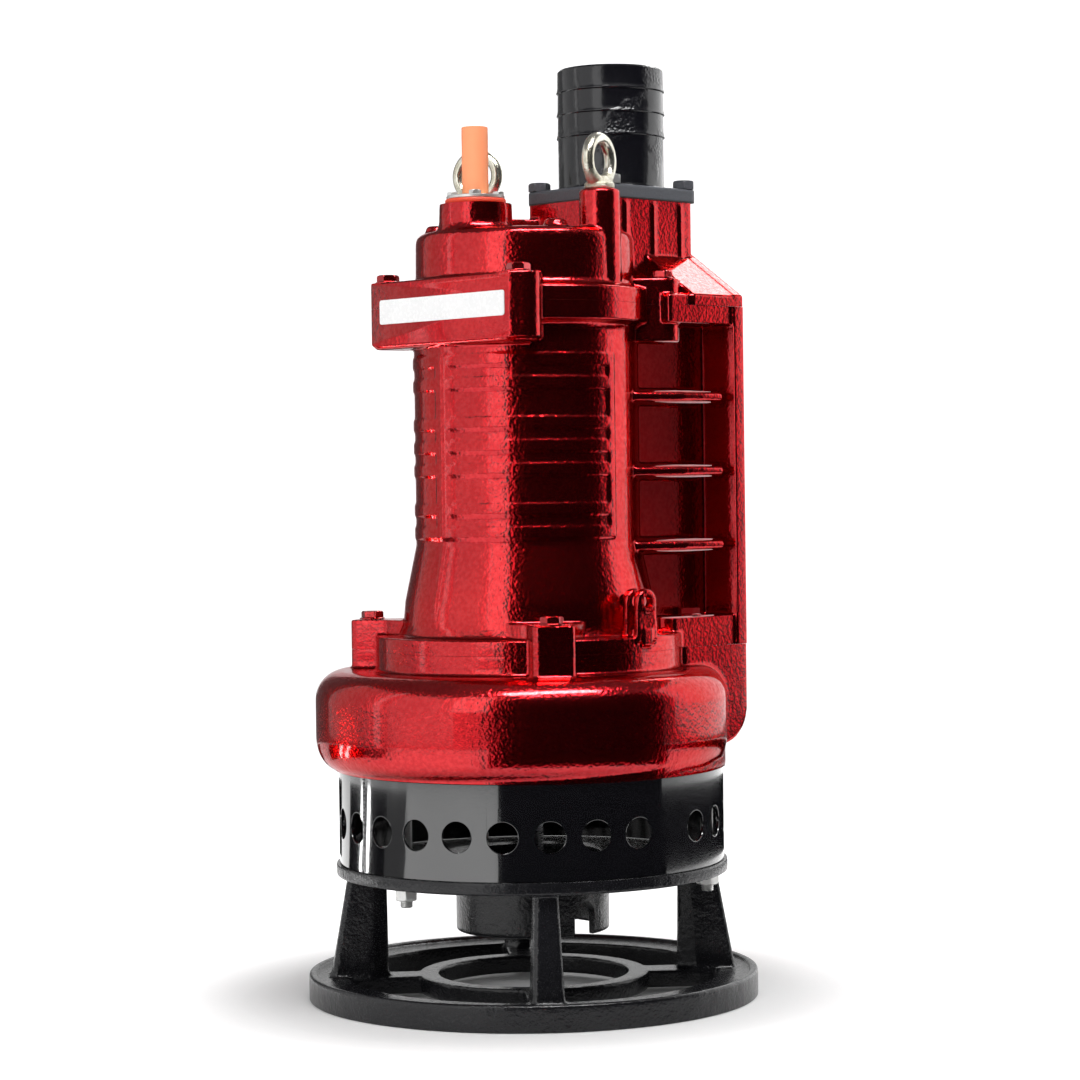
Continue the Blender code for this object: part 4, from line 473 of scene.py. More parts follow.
def cast(name, work, voxel, rounds, cutters=(), most=MOST_TRIANGLES):
    """One casting: overlapping solids run into one skin, its edges and corners rounded, then machined."""
    thing = placed(name, work)
    skin = thing.modifiers.new("Skin", "REMESH")
    skin.mode = "VOXEL"
    skin.voxel_size = voxel
    fettle = thing.modifiers.new("Fettle", "SMOOTH")
    fettle.factor = 0.5
    fettle.iterations = rounds
    applied(thing)
    return lightened(cut_by(thing, list(cutters)), most)


def dressed(thing, finish, *nodes, body="pump_body", sharp=40.0, slot=None):
    """Gives a piece its finish and its body, and hides the CAD nodes that it stands for."""
    thing.data.materials.clear()
    thing.data.materials.append(FINISHES[finish])
    thing.data.shade_smooth()
    thing.data.set_sharp_from_angle(angle=radians(sharp))
    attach(thing, body)
    if nodes:
        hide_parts(*nodes)
    return thing


def cutter_box(low, high):
    return upright("cutter", rectangle(low[:2], high[:2]), low[2], high[2])


def all_below(level):
    return cutter_box((-FAR, -FAR, 0.0), (FAR, FAR, level))


def joint_planes(bottom, top):
    """Everything below one joint face and above the other."""
    work = bmesh.new()
    add_box(work, (-FAR, -FAR, bottom - FAR), (FAR, FAR, bottom))
    add_box(work, (-FAR, -FAR, top), (FAR, FAR, top + FAR))
    return placed("cutter", work)


def bore(radius, bottom, top, centre=(0.0, 0.0)):
    return upright("cutter", circle(radius, ROUND_STEPS, centre), bottom, top)


def ramp(value, edge, width):
    """0 before an edge, 1 past it, and smooth across the width."""
    share = min(max((value - edge) / width + 0.5, 0.0), 1.0)
    return share * share * (3.0 - 2.0 * share)


def between(value, low, high, width):
    return ramp(value, low, width) * (1.0 - ramp(value, high, width))


def along(stations, value):
    """The height of a line through (place, height) stations."""
    for (start, first), (end, last) in zip(stations, stations[1:]):
        if value <= end:
            return first + (last - first) * max(value - start, 0.0) / (end - start)
    return stations[-1][1]


# Stand

def leg_section(outer, inner, width, height):
    flank = inner + (outer - inner) * 0.30
    half, corner = width / 2, 0.003
    one_side = [(outer, half - corner), (outer - corner, half), (flank, half), (inner, half * 0.40)]
    return [(x, y, height) for x, y in one_side + [(x, -y) for x, y in reversed(one_side)]]


def make_stand():
    """Ring, spokes, inner ring, legs and deck, cast in one."""
    work = bmesh.new()
    rim, web = BASE_RADIUS - 0.008, BASE_RADIUS - 0.038
    add_turned(work, [
        (BASE_RADIUS - 0.0015, BASE_HEIGHT), (BASE_RADIUS, BASE_HEIGHT - 0.0015), (BASE_RADIUS, -SPARE),
        (web, -SPARE), (web, WEB_TOP), (rim, WEB_TOP), (rim + 0.001, BASE_HEIGHT)], closed=True)
    add_turned(work, [(0.110, 0.021), (0.110, 0.004), (0.091, 0.004), (0.091, 0.021)], closed=True)
    first_leg = 51.4
    for index in range(4):
        turn = Matrix.Rotation(radians(first_leg + 90.0 * index), 4, "Z")
        turn_about(work, add_box(work, (0.1005, -0.017, 0.004), (0.192, 0.017, WEB_TOP)), turn)
        leg = [leg_section(0.196, 0.136, 0.036, WEB_TOP - 0.004),
               leg_section(0.193, 0.139, 0.0297, WEB_TOP + 0.005),
               leg_section(0.176, 0.140, 0.0216, DECK_BOTTOM + 0.004)]
        turn_about(work, add_loft(work, leg), turn)
    mouth = 0.0738
    add_turned(work, [
        (DECK_RADIUS - 0.0015, DECK_TOP + SPARE), (DECK_RADIUS, DECK_TOP - 0.0010),
        (DECK_RADIUS, DECK_BOTTOM), (mouth, DECK_BOTTOM), (mouth, DECK_TOP + SPARE)], closed=True)
    stand = cast("stand", work, 0.0017, 4, [joint_planes(0.0, DECK_TOP)])
    return dressed(stand, "satin_black_casting", "stand_base", "stand_leg_1", "stand_leg_2",
                   "stand_leg_3", "stand_leg_4", "stand_deck")


def make_skirt():
    radius, wall, bottom, top = 0.0735, 0.008, 0.062, 0.1355
    work = bmesh.new()
    add_turned(work, [
        (radius + 0.013, top), (radius + 0.013, DECK_TOP + GAP), (radius, DECK_TOP + GAP),
        (radius, bottom + 0.002), (radius - 0.002, bottom), (radius - wall, bottom), (radius - wall, top)],
        closed=True)
    half, rise = 0.013, 0.032
    notch = bmesh.new()
    outline = arch(half, 0.0, bottom + rise) + [(-half, bottom - REACH), (half, bottom - REACH)]
    turn_about(notch, add_slab(notch, outline, -0.1, 0.1), FACING_Y)
    skirt = cast("suction_skirt_casting", work, 0.0013, 3, [placed("cutter", notch)], 90000)
    return dressed(skirt, "satin_black_casting", "suction_skirt")


def hexagon_reach(angle, flats):
    """Distance from a hexagon's middle to its side."""
    return flats / 2 / cos(radians((angle + 30.0) % 60.0 - 30.0))


def add_hexagon(work, flats, seat, height, centre=(0.0, 0.0), washer=0.0, turn=0.0):
    """A hexagon head with a turned top, on a thin washer face."""
    corner = flats / sqrt(3)
    stations = [(seat, flats * 0.47)] + ([(seat + washer, flats * 0.47)] if washer else [])
    stations += [(seat + washer, corner * 0.985), (seat + washer + height * 0.05, corner),
                 (seat + height * 0.80, corner), (seat + height * 0.93, flats * 0.535),
                 (seat + height, flats * 0.475), (seat + height, flats * 0.05)]
    rings = []
    for level, reach in stations:
        ring = []
        for index in range(72):
            angle = 5.0 * index
            x, y = polar(min(reach, hexagon_reach(angle, flats)), angle + turn)
            ring.append((centre[0] + x, centre[1] + y, level))
        rings.append(ring)
    return add_loft(work, rings)


def add_threaded_rod(work, radius, bottom, top, centre, threads):
    """An upright rod with a helical thread between two heights."""
    pitch, depth, around = 0.00175, 0.00095, 28
    count = int((top - bottom) / (pitch / 5))
    rings = []
    for step in range(count + 1):
        height = bottom + (top - bottom) * step / count
        thread = between(height, threads[0], threads[1], pitch)
        ring = []
        for index in range(around):
            phase = (height / pitch - index / around) % 1.0
            reach = radius - depth * thread * abs(2.0 * phase - 1.0)
            x, y = polar(min(reach, radius - 0.0012 + (height - bottom), radius), 360.0 * index / around)
            ring.append((centre[0] + x, centre[1] + y, height))
        rings.append(ring)
    return add_loft(work, rings)


def make_studs():
    stud_circle, first_stud, seat = 0.170, 64.4, DECK_BOTTOM - GAP
    for index in range(3):
        centre = polar(stud_circle, first_stud + 120.0 * index)
        work = bmesh.new()
        add_threaded_rod(work, 0.006, seat - 0.0165, VOLUTE_BOTTOM - GAP, centre, (seat - 0.1, seat + 0.020))
        stud = placed("stud_%d" % (index + 1), work)
        dressed(stud, "bright_zinc", "stand_stud_%d" % (index + 1))
        work = bmesh.new()
        mirror = Matrix.Translation((0.0, 0.0, seat)) @ Matrix.Scale(-1.0, 4, (0.0, 0.0, 1.0))
        turn_about(work, add_hexagon(work, HEAD_FLATS, 0.0, 0.010, centre, 0.0006, 17.0 * index), mirror)
        nut = placed("nut_%d" % (index + 1), work)
        dressed(nut, "bright_zinc", "stand_nut_%d" % (index + 1))


def make_strainer():
    radius, wall, holes, gap_angle, gap_centre = 0.1841, 0.003, 26, 23.6, -88.7
    bottom, top = DECK_TOP + GAP, VOLUTE_BOTTOM - GAP
    edge, hole_radius, row = 0.0006, 0.0143, DECK_TOP + 0.0408
    band = turned("strainer", [
        (radius - edge, top), (radius, top - edge), (radius, bottom + edge), (radius - edge, bottom),
        (radius - wall, bottom), (radius - wall, top)], 260, closed=True)
    drills = bmesh.new()
    for index in range(holes):
        angle = gap_centre + gap_angle / 2 + (360.0 - gap_angle) / (holes - 1) * index
        drill = add_rod(drills, hole_radius, -REACH / 2, REACH / 2)
        place = (Matrix.Translation((*polar(radius - wall / 2, angle), row))
                 @ Matrix.Rotation(radians(angle), 4, "Z") @ Matrix.Rotation(radians(90.0), 4, "Y"))
        turn_about(drills, drill, place)
    cut_by(band, [placed("cutter", drills)])
    broken = band.modifiers.new("Broken edges", "BEVEL")
    broken.width, broken.segments, broken.use_clamp_overlap = 0.0005, 2, False
    broken.limit_method, broken.angle_limit = "ANGLE", radians(55.0)
    applied(band)
    dressed(band, "gloss_black_enamel", "strainer_band", sharp=10.0)
    seam = bmesh.new()
    rings = []
    centre = Vector(polar(radius, 170.0))
    outward = centre.normalized()
    side = Vector((-outward.y, outward.x))
    for step in range(60):
        height = bottom + 0.001 + (top - bottom - 0.002) * step / 59
        lap = 0.0008 + 0.0002 * sin(step * 2.4)
        turns = [2 * pi * k / 10 for k in range(10)]
        ring = [centre + outward * (lap * sin(turn)) + side * (0.0019 * cos(turn)) for turn in turns]
        rings.append([(x, y, height) for x, y in ring])
    add_loft(seam, rings)
    dressed(placed("strainer_seam", seam), "gloss_black_enamel")


# Volute casing

def volute_radius(angle):
    """Outer radius of the spiral, which grows clockwise seen from above."""
    corner = degrees(atan2(BLOCK_HALF, BLOCK_BACK))
    travel = (-angle - corner) % 360.0
    share = min(travel / (360.0 - 2 * corner), 1.0)
    if travel > 360.0 - corner:
        share = 0.0
    radius = 0.1865 + 0.027 * share ** 0.8
    signed_angle = (angle + 180.0) % 360.0 - 180.0
    if abs(signed_angle) < 90.0:
        radius = min(radius, (BLOCK_BACK - 0.002) / cos(radians(signed_angle)))
    return radius


def quarter_bends(steps=12):
    return [(sin(step * pi / 2 / steps), cos(step * pi / 2 / steps)) for step in range(steps + 1)]


def volute_outer_section(radius):
    shoulder, belly_height, belly_width, collar = 0.028, 0.031, 0.022, 0.1865
    top = [(radius - shoulder * (1 - rise), VOLUTE_TOP - shoulder * (1 - run))
           for rise, run in quarter_bends()]
    belly = [(max(radius - belly_width * (1 - run), collar), VOLUTE_BOTTOM + belly_height * (1 - rise))
             for rise, run in quarter_bends()]
    inner = 0.080
    return ([(FLANGE_RADIUS, LOWER_JOINT + SPARE), (FLANGE_RADIUS, VOLUTE_TOP)] + top + belly
            + [(collar, VOLUTE_BOTTOM - SPARE), (inner, VOLUTE_BOTTOM - SPARE), (inner, LOWER_JOINT + SPARE)])


def volute_cavity_section(radius):
    wall, roof, floor, corner, inner = radius - 0.010, 0.2950, 0.2285, 0.018, 0.1
    arc = [(wall - corner * (1 - rise), roof - corner * (1 - run)) for rise, run in quarter_bends(6)]
    return [(inner, roof)] + arc + [(x, roof + floor - z) for x, z in reversed(arc)] + [(inner, floor)]


def volute_rings(section_at):
    angles = [360.0 / ROUND_STEPS * index for index in range(ROUND_STEPS)]
    return [[(*polar(radius, angle), height) for radius, height in section_at(volute_radius(angle))]
            for angle in angles]


def lower_lug_outline():
    """A radial lug in plan, with rounded outer corners and flanks that spread into the barrel."""
    reach, half, shoulder, root, root_half = 0.173, 0.020, 0.137, 0.104, 0.044
    tip = rounded(rectangle((shoulder, -half), (reach, half)), 0.007)
    arc = len(tip) // 4
    return ([(root, -root_half), (shoulder - 0.006, -half - 0.005), (shoulder, -half)] + tip[arc:arc * 3]
            + [(shoulder, half), (shoulder - 0.006, half + 0.005), (root, root_half)])


def upper_lug_outline():
    return rounded(rectangle((0.085, -0.020), (0.147, 0.020)), 0.014)


def add_lugs(work, outline, angles, bottom, top):
    for angle in angles:
        add_slab(work, turned_in_plan(outline, angle), bottom, top)


def make_volute():
    work = bmesh.new()
    add_loft(work, volute_rings(volute_outer_section), closed=True)
    bottom, root, bend = VOLUTE_TOP - 0.0775, 0.090, 0.036
    arc = [(BLOCK_BACK - bend * (1 - run), bottom + bend * (1 - rise)) for rise, run in quarter_bends()]
    outline = [(root, LOWER_JOINT + SPARE), (BLOCK_BACK, LOWER_JOINT + SPARE)] + arc + [(root, bottom)]
    turn_about(work, add_slab(work, outline, -BLOCK_HALF, BLOCK_HALF), FACING_Y)
    add_lugs(work, lower_lug_outline(), LOWER_LUGS, VOLUTE_TOP - 0.006, LOWER_JOINT + SPARE)
    cavity = bmesh.new()
    add_loft(cavity, volute_rings(volute_cavity_section), closed=True)
    step, middle, over, under = 0.300, 0.262, LOWER_JOINT + REACH, VOLUTE_BOTTOM - REACH
    profile = [(0.0, over), (0.125, over), (0.125, step), (0.120, step), (0.120, middle), (0.105, middle),
               (0.105, under), (0.0, under)]
    near, far, half = PASSAGE
    casting = cast("volute", work, 0.0018, 5, [
        joint_planes(VOLUTE_BOTTOM, LOWER_JOINT), placed("cutter", cavity),
        cutter_box((near, -half, LOWER_JOINT - 0.054), (far, half, over)), turned("cutter", profile)])
    return dressed(casting, "red_gloss_paint", "volute_casing")


# Motor housing

BLOCK_FACE = -0.110
NO_EDGE = 0.0001               # all but sharp, on a side that is machined away
PANEL_BOTTOM = LOWER_JOINT + 0.1062
POCKET_LAND = 0.01155
POCKET_HEIGHTS = (0.010, 0.0257, 0.010, 0.010, 0.0257, 0.010)
PANEL_TOP = PANEL_BOTTOM + POCKET_LAND * 7 + sum(POCKET_HEIGHTS)
BARREL_LINE = [
    (LOWER_JOINT - SPARE, FLANGE_RADIUS), (LOWER_JOINT + 0.0143, FLANGE_RADIUS),
    (LOWER_JOINT + 0.0150, 0.1245), (LOWER_JOINT + 0.024, 0.1205), (LOWER_JOINT + 0.047, 0.1184),
    (PANEL_BOTTOM - 0.006, BARREL_RADIUS),
    (UPPER_JOINT - 0.026, BARREL_RADIUS), (UPPER_JOINT - 0.0205, BARREL_RADIUS + 0.0020),
    (UPPER_JOINT - 0.0175, BARREL_RADIUS + 0.0065), (UPPER_JOINT - 0.0170, 0.118),
    (UPPER_JOINT + SPARE, 0.118)]


def pocket_share(height):
    """How far inside a row of pockets a height lies."""
    share, low = 0.0, PANEL_BOTTOM + POCKET_LAND
    for tall in POCKET_HEIGHTS:
        share = max(share, between(height, low, low + tall, 0.0022))
        low += tall + POCKET_LAND
    return share


def barrel_reach(angle, height):
    turn = abs((angle + 180.0) % 360.0 - 180.0)
    reach = along(BARREL_LINE, height)
    proud = ramp(turn, 82.5, 1.2) * between(height, PANEL_BOTTOM, PANEL_TOP, 0.0024)
    sunk = between(turn, 87.4, 175.3, 1.5) * pocket_share(height)
    ridge = ramp(turn, 179.1, 0.8) * ramp(height, LOWER_JOINT + 0.030, 0.004)
    return reach + 0.0012 * proud - 0.0013 * sunk + 0.0007 * ridge


def barrel_levels():
    levels = [height for height, reach in BARREL_LINE]
    count = int((PANEL_TOP - PANEL_BOTTOM + 0.01) / 0.0012)
    levels += [PANEL_BOTTOM - 0.005 + 0.0012 * step for step in range(count + 1)]
    return sorted(set(levels))


def add_barrel(work):
    angles = [360.0 * index / 480 for index in range(480)]
    add_loft(work, [[(*polar(barrel_reach(angle, height), angle), height) for angle in angles]
                    for height in barrel_levels()])


def duct_plan():
    half, wide = DUCT_HALF, BLOCK_HALF
    return [(DUCT_FRONT, -half), (DUCT_BACK, -half), (DUCT_BACK, -wide), (BLOCK_BACK, -wide),
            (BLOCK_BACK, wide), (DUCT_BACK, wide), (DUCT_BACK, half), (DUCT_FRONT, half)]


def flange_plan():
    half = BLOCK_HALF - 0.003
    return rounded(rectangle((0.078, -half), (BLOCK_BACK, half)), 0.003, 4)


def add_rib(work, height, side):
    """A drafted rib with a rounded nose and tapered ends."""
    stations = ((0.050, 0.098, 1.0), (0.075, 0.107, 1.0), (0.100, 0.115, 1.0), (0.125, 0.1175, 0.97),
                (0.148, 0.118, 0.9), (0.155, 0.110, 0.7), (0.164, 0.086, 0.4))
    rings = []
    for x, reach, share in stations:
        thick, thin = 0.0090 * share, 0.0048 * share
        nose = [(reach - 0.0035, thin), (reach - 0.0012, thin * 0.75), (reach, thin * 0.3)]
        outline = [(0.072, -thick)] + [(out, -up) for out, up in nose] + nose[::-1] + [(0.072, thick)]
        rings.append([(x, side * out, height + up) for out, up in outline])
    return add_loft(work, rings)


def add_clevis(work, distance):
    half, foot = 0.012, LOWER_JOINT + 0.010
    middle, crown = 0.012, LOWER_JOINT + 0.059
    ear = add_slab(work, arch(half, middle, crown) + [(-0.0015, foot), (0.0255, foot)], -0.0035, 0.0035)
    rim = add_slab(work, circle(0.0102, 48, (middle, crown - half)), -0.0043, 0.0043)
    turn_about(work, ear + rim, Matrix.Translation((0.0, -distance, 0.0)) @ FACING_Y)


def block_face_cutter():
    """Cuts the flanges off level with the front block's face."""
    return cutter_box((-0.150, -0.150, UPPER_JOINT - 0.040), (BLOCK_FACE, 0.150, UPPER_JOINT + 0.040))


def block_outline(inset):
    """The front block in plan, drawn in on three sides by one distance."""
    face, root, half, corner = BLOCK_FACE - 0.0006 + inset, -0.070, 0.101 - inset, 0.010
    return rounded(rectangle((face, -half), (root, half)), corner - inset)


def add_front_block(work, bottom, top, low_edge, high_edge):
    """The block's edges are rounded along its bottom and its top."""
    bends = quarter_bends(6)
    stations = [(bottom + low_edge * (1 - run), low_edge * (1 - rise)) for rise, run in bends]
    stations += [(top - high_edge * (1 - rise), high_edge * (1 - run)) for rise, run in bends]
    add_loft(work, [[(x, y, height) for x, y in block_outline(inset)] for height, inset in stations])


def make_housing():
    bottom, top = LOWER_JOINT - SPARE, UPPER_JOINT + SPARE
    work = bmesh.new()
    add_barrel(work)
    add_slab(work, duct_plan(), bottom, top)
    add_slab(work, flange_plan(), bottom, LOWER_JOINT + LOWER_LUG_HEIGHT)
    add_slab(work, flange_plan(), UPPER_JOINT - 0.017, top)
    add_box(work, (DUCT_BACK, -0.104, LOWER_JOINT + 0.020), (BLOCK_BACK + 0.004, 0.104, UPPER_JOINT - 0.040))
    for index in range(3):
        for side in (-1, 1):
            add_rib(work, LOWER_JOINT + 0.097 + 0.071 * index, side)
    for index in range(2):
        add_clevis(work, 0.131 + 0.0145 * index)
    add_box(work, (0.006, -0.150, LOWER_JOINT + 0.006), (0.018, -0.118, LOWER_JOINT + 0.0205))
    add_lugs(work, lower_lug_outline(), LOWER_LUGS, bottom, LOWER_JOINT + LOWER_LUG_HEIGHT)
    add_lugs(work, upper_lug_outline(), UPPER_LUGS, UPPER_JOINT - UPPER_DROP, top)
    add_front_block(work, UPPER_JOINT - UPPER_DROP - 0.004, top, 0.006, NO_EDGE)
    pin = bmesh.new()
    turn_about(pin, add_rod(pin, 0.0062, 0.100, 0.2, (0.012, LOWER_JOINT + 0.047), 48), FACING_Y)
    near, far, half = PASSAGE
    under, over = LOWER_JOINT - REACH, UPPER_JOINT + REACH
    casting = cast("housing", work, 0.0013, 4, [
        joint_planes(LOWER_JOINT + GAP, UPPER_JOINT), bore(HOUSING_BORE, under, over),
        cutter_box((near, -half, under), (far, half, over)), placed("cutter", pin), block_face_cutter()])
    return dressed(casting, "red_gloss_paint", "motor_housing", "discharge_duct")


def add_joint_bolt(name, seat, centre, angle, node, finish="red_bolt_paint", slot="red_gloss_paint",
                   height=0.0078, flange=0.0122):
    """A hexagon head, with a thin round flange under it where it has one."""
    work = bmesh.new()
    low = seat + GAP
    add_hexagon(work, HEAD_FLATS, low, height, centre, 0.0, angle)
    if flange:
        rim = [(0.0, 0.0022), (0.0098, 0.0022), (flange - 0.0006, 0.0013), (flange, 0.0009), (flange, 0.0),
               (0.0, 0.0)]
        add_turned(work, lifted(low, rim), 60, centre)
    bolt = placed(name, work)
    dressed(bolt, finish, node, sharp=28.0, slot=slot)


def make_joint_bolts():
    for place, casting, angles, reach, seat, spin in (
            ("lower", "housing", LOWER_LUGS, LOWER_CIRCLE, LOWER_JOINT + LOWER_LUG_HEIGHT, 11.0),
            ("upper", "cover", UPPER_LUGS, UPPER_CIRCLE, UPPER_JOINT + UPPER_RISE, 14.0)):
        for index, angle in enumerate(angles):
            add_joint_bolt("%s_bolt_%d" % (place, index + 1), seat, polar(reach, angle), angle + spin * index,
                           "%s_bolt_%d" % (casting, index + 1))


# Top cover

def make_cover():
    bottom = UPPER_JOINT - SPARE
    flange = UPPER_JOINT + 0.016
    work = bmesh.new()
    dome = lifted(COVER_TOP, [(0.0, 0.0012), (0.045, 0.0008), (0.094, 0.0), (0.0995, -0.0012),
                              (0.1030, -0.0045), (0.104, -0.009)])
    dome += lifted(flange, [(0.1045, 0.006), (0.107, 0.0015), (0.112, 0.0), (0.118, -0.0015)])
    add_turned(work, dome + [(0.118, bottom), (0.0, bottom)])
    add_slab(work, rounded(rectangle((0.058, -0.058), (0.173, 0.058)), 0.006), bottom, BOX_TOP + SPARE)
    for x in (0.080, TAIL_X, 0.155):
        add_box(work, (x - 0.0015, -0.0592, bottom), (x + 0.0015, 0.0592, BOX_TOP - 0.004))
    add_slab(work, flange_plan(), bottom, UPPER_JOINT + 0.010)
    low, high, peak, shoulder = 0.120, 0.054, UPPER_JOINT + 0.054, UPPER_JOINT + 0.010
    roof = [(-low, bottom), (low, bottom), (low, shoulder), (high, peak), (-high, peak), (-low, shoulder)]
    for thick, inset in ((0.0345, 0.0), (0.0060, 0.0008)):
        outline = [(y, height + inset) for y, height in roof]
        turn_about(work, add_slab(work, outline, -thick, thick),
                   Matrix.Translation((BLOCK_BACK - thick, 0.0, 0.0)) @ FACING_X)
    add_turned(work, [(0.0, GLAND_TOP + SPARE), (0.0340, GLAND_TOP + SPARE), (0.0348, COVER_TOP + 0.006),
                      (0.0385, COVER_TOP - 0.002), (0.0, COVER_TOP - 0.002)], centre=(GLAND_X, 0.0))
    for side in (-1, 1):
        centre = (EYE_X, side * EYE_Y)
        add_turned(work, [(0.0, 0.764), (0.0180, 0.764), (0.0193, 0.7615), (0.0197, flange), (0.0, flange)],
                   centre=centre)
        web = [(0.030, side * 0.080), (0.064, side * 0.050), (0.064, side * 0.038), (0.018, side * 0.060)]
        add_slab(work, web, COVER_TOP - 0.010, 0.7480)
    low_boss = [(0.0, 0.007), (0.0085, 0.007), (0.0103, 0.005), (0.012, -0.002), (0.0, -0.002)]
    for angle in (147.0, -112.0):
        add_turned(work, lifted(COVER_TOP, low_boss), 64, polar(0.084, angle))
    add_lugs(work, upper_lug_outline(), UPPER_LUGS, bottom, UPPER_JOINT + UPPER_RISE)
    add_front_block(work, bottom, UPPER_JOINT + UPPER_RISE, NO_EDGE, 0.0035)
    near, far = PASSAGE[:2]
    top_cut = bmesh.new()
    add_box(top_cut, (0.045, -0.070, BOX_TOP), (0.2, 0.070, BOX_TOP + 0.1))
    add_rod(top_cut, 0.0360, GLAND_TOP, GLAND_TOP + 0.1, (GLAND_X, 0.0), ROUND_STEPS)
    casting = cast("cover", work, 0.0016, 4, [
        block_face_cutter(),
        all_below(UPPER_JOINT + GAP), placed("cutter", top_cut),
        bore(0.092, UPPER_JOINT - REACH, COVER_TOP - 0.010),
        cutter_box((near, -0.044, UPPER_JOINT - REACH), (far, 0.044, UPPER_JOINT + 0.076)),
        bore(TAIL_BORE, UPPER_JOINT + 0.074, BOX_TOP + REACH, (TAIL_X, 0.0))])
    return dressed(casting, "red_gloss_paint", "top_cover")


def make_plate():
    """The bare plate on the front block, across the joint."""
    low, high = (-0.0925, UPPER_JOINT - 0.0152), (0.0835, UPPER_JOINT + 0.0078)
    work = bmesh.new()
    sheet = add_slab(work, rounded(rectangle(low, high), 0.0025), -0.0005, 0.0005)
    turn_about(work, sheet, Matrix.Translation((BLOCK_FACE - 0.0008, 0.0, 0.0)) @ FACING_X)
    dressed(placed("bare_plate", work), "white_plate", slot="bright_zinc")


# Gland and cable

def make_gland():
    centre, seat, inner = (GLAND_X, 0.0), GLAND_TOP + GAP, 0.0128
    profile = [(inner, 0.0), (0.0280, 0.0), (0.0287, 0.0008), (0.0287, 0.0037), (0.0280, 0.0045),
               (inner, 0.0045)]
    seal = turned("gland_seal", lifted(seat, profile), centre=centre, closed=True)
    dressed(seal, "red_rubber", "gland_rubber", sharp=50.0)
    low, screw_circle, first_screw = seat + 0.0048, 0.0215, -132.6
    work = bmesh.new()
    profile = [(inner, 0.0), (0.0272, 0.0), (0.0275, 0.0004), (0.0275, 0.0025), (0.0270, 0.0030),
               (0.0133, 0.0030), (inner, 0.0025)]
    add_turned(work, lifted(low, profile), centre=centre, closed=True)
    for index in range(4):
        x, y = polar(screw_circle, first_screw + 90.0 * index)
        add_hexagon(work, 0.010, low + 0.0029, 0.004, (GLAND_X + x, y), 0.0005, 23.0 * index)
    dressed(placed("gland_cap", work), "bright_zinc", "gland_plate", sharp=28.0)


def make_cable():
    """The stub of the power cable, sawn off square, with its cores showing on the cut."""
    centre, radius, bottom, top = (GLAND_X, 0.0), 0.0125, GLAND_TOP - 0.045, GLAND_TOP + 0.073
    levels = [bottom + (top - 0.0005 - bottom) * step / 40 for step in range(41)]
    profile = [(0.0, bottom)] + [(radius * (1.0 + 0.004 * sin(step * 0.9)), level)
                                 for step, level in enumerate(levels)]
    profile += lifted(top, [(radius - 0.0006, -0.0001), (0.0098, -0.0001), (0.0096, -0.0011), (0.0, -0.0011)])
    dressed(turned("cable_stub", profile, 72, centre), "orange_cable_jacket", "power_cable")
    sleeve = [(0.0, -0.0020), (0.0034, -0.0020), (0.0034, -0.0006), (0.0031, -0.0004), (0.0, -0.0004)]
    wire = [(0.0, -0.0006), (0.0007, -0.0006), (0.0006, -0.0001), (0.0, 0.0)]
    for index in range(4):
        x, y = polar(0.0052, 45.0 + 90.0 * index)
        core = (GLAND_X + x, y)
        dressed(turned("cable_core_%d" % (index + 1), lifted(top, sleeve), 40, core), "black_rubber")
        work = bmesh.new()
        for strand in range(7):
            a, b = polar(0.0015 if strand else 0.0, 60.0 * strand)
            add_turned(work, lifted(top, wire), 14, (core[0] + a, core[1] + b))
        dressed(placed("cable_strands_%d" % (index + 1), work), "copper_winding")


# Eye bolts

COLLAR = [(0.0, 0.0125), (0.0075, 0.0120), (0.0100, 0.0085), (0.0130, 0.0065), (0.0142, 0.0045),
          (0.0142, 0.0010), (0.0136, 0.0), (0.0, 0.0)]


def make_eye_bolts():
    for side, centre, turn in EYES:
        middle = EYE_SEAT + 0.027
        rings = []
        for index in range(96):
            angle = 2 * pi * index / 96
            x, z = 0.0212 * cos(angle), 0.0210 * sin(angle)
            foot = ramp(-sin(angle), 0.75, 0.5)
            wire = 0.0060 + 0.0006 * foot
            ring = []
            for k in range(28):
                around = 2 * pi * k / 28
                across, reach = wire * sin(around) * (1.0 + 0.10 * foot), wire * cos(around) * 0.94
                ring.append((across, x + cos(angle) * reach, z + sin(angle) * reach))
            rings.append(ring)
        work = bmesh.new()
        turn_about(work, add_loft(work, rings, closed=True),
                   Matrix.Translation((*centre, middle)) @ Matrix.Rotation(radians(turn), 4, "Z"))
        add_turned(work, lifted(EYE_SEAT, COLLAR), 72, centre)
        eye = cast("eye_" + side, work, 0.0008, 2, (), 90000)
        dressed(eye, "yellow_zinc", "eye_bolt_" + side)


# Hose tail

BOLT_PLACE = 0.050


def tail_outline(corner=0.008):
    half = 0.060
    return rounded(rectangle((TAIL_X - half, -half), (TAIL_X + half, half)), corner)


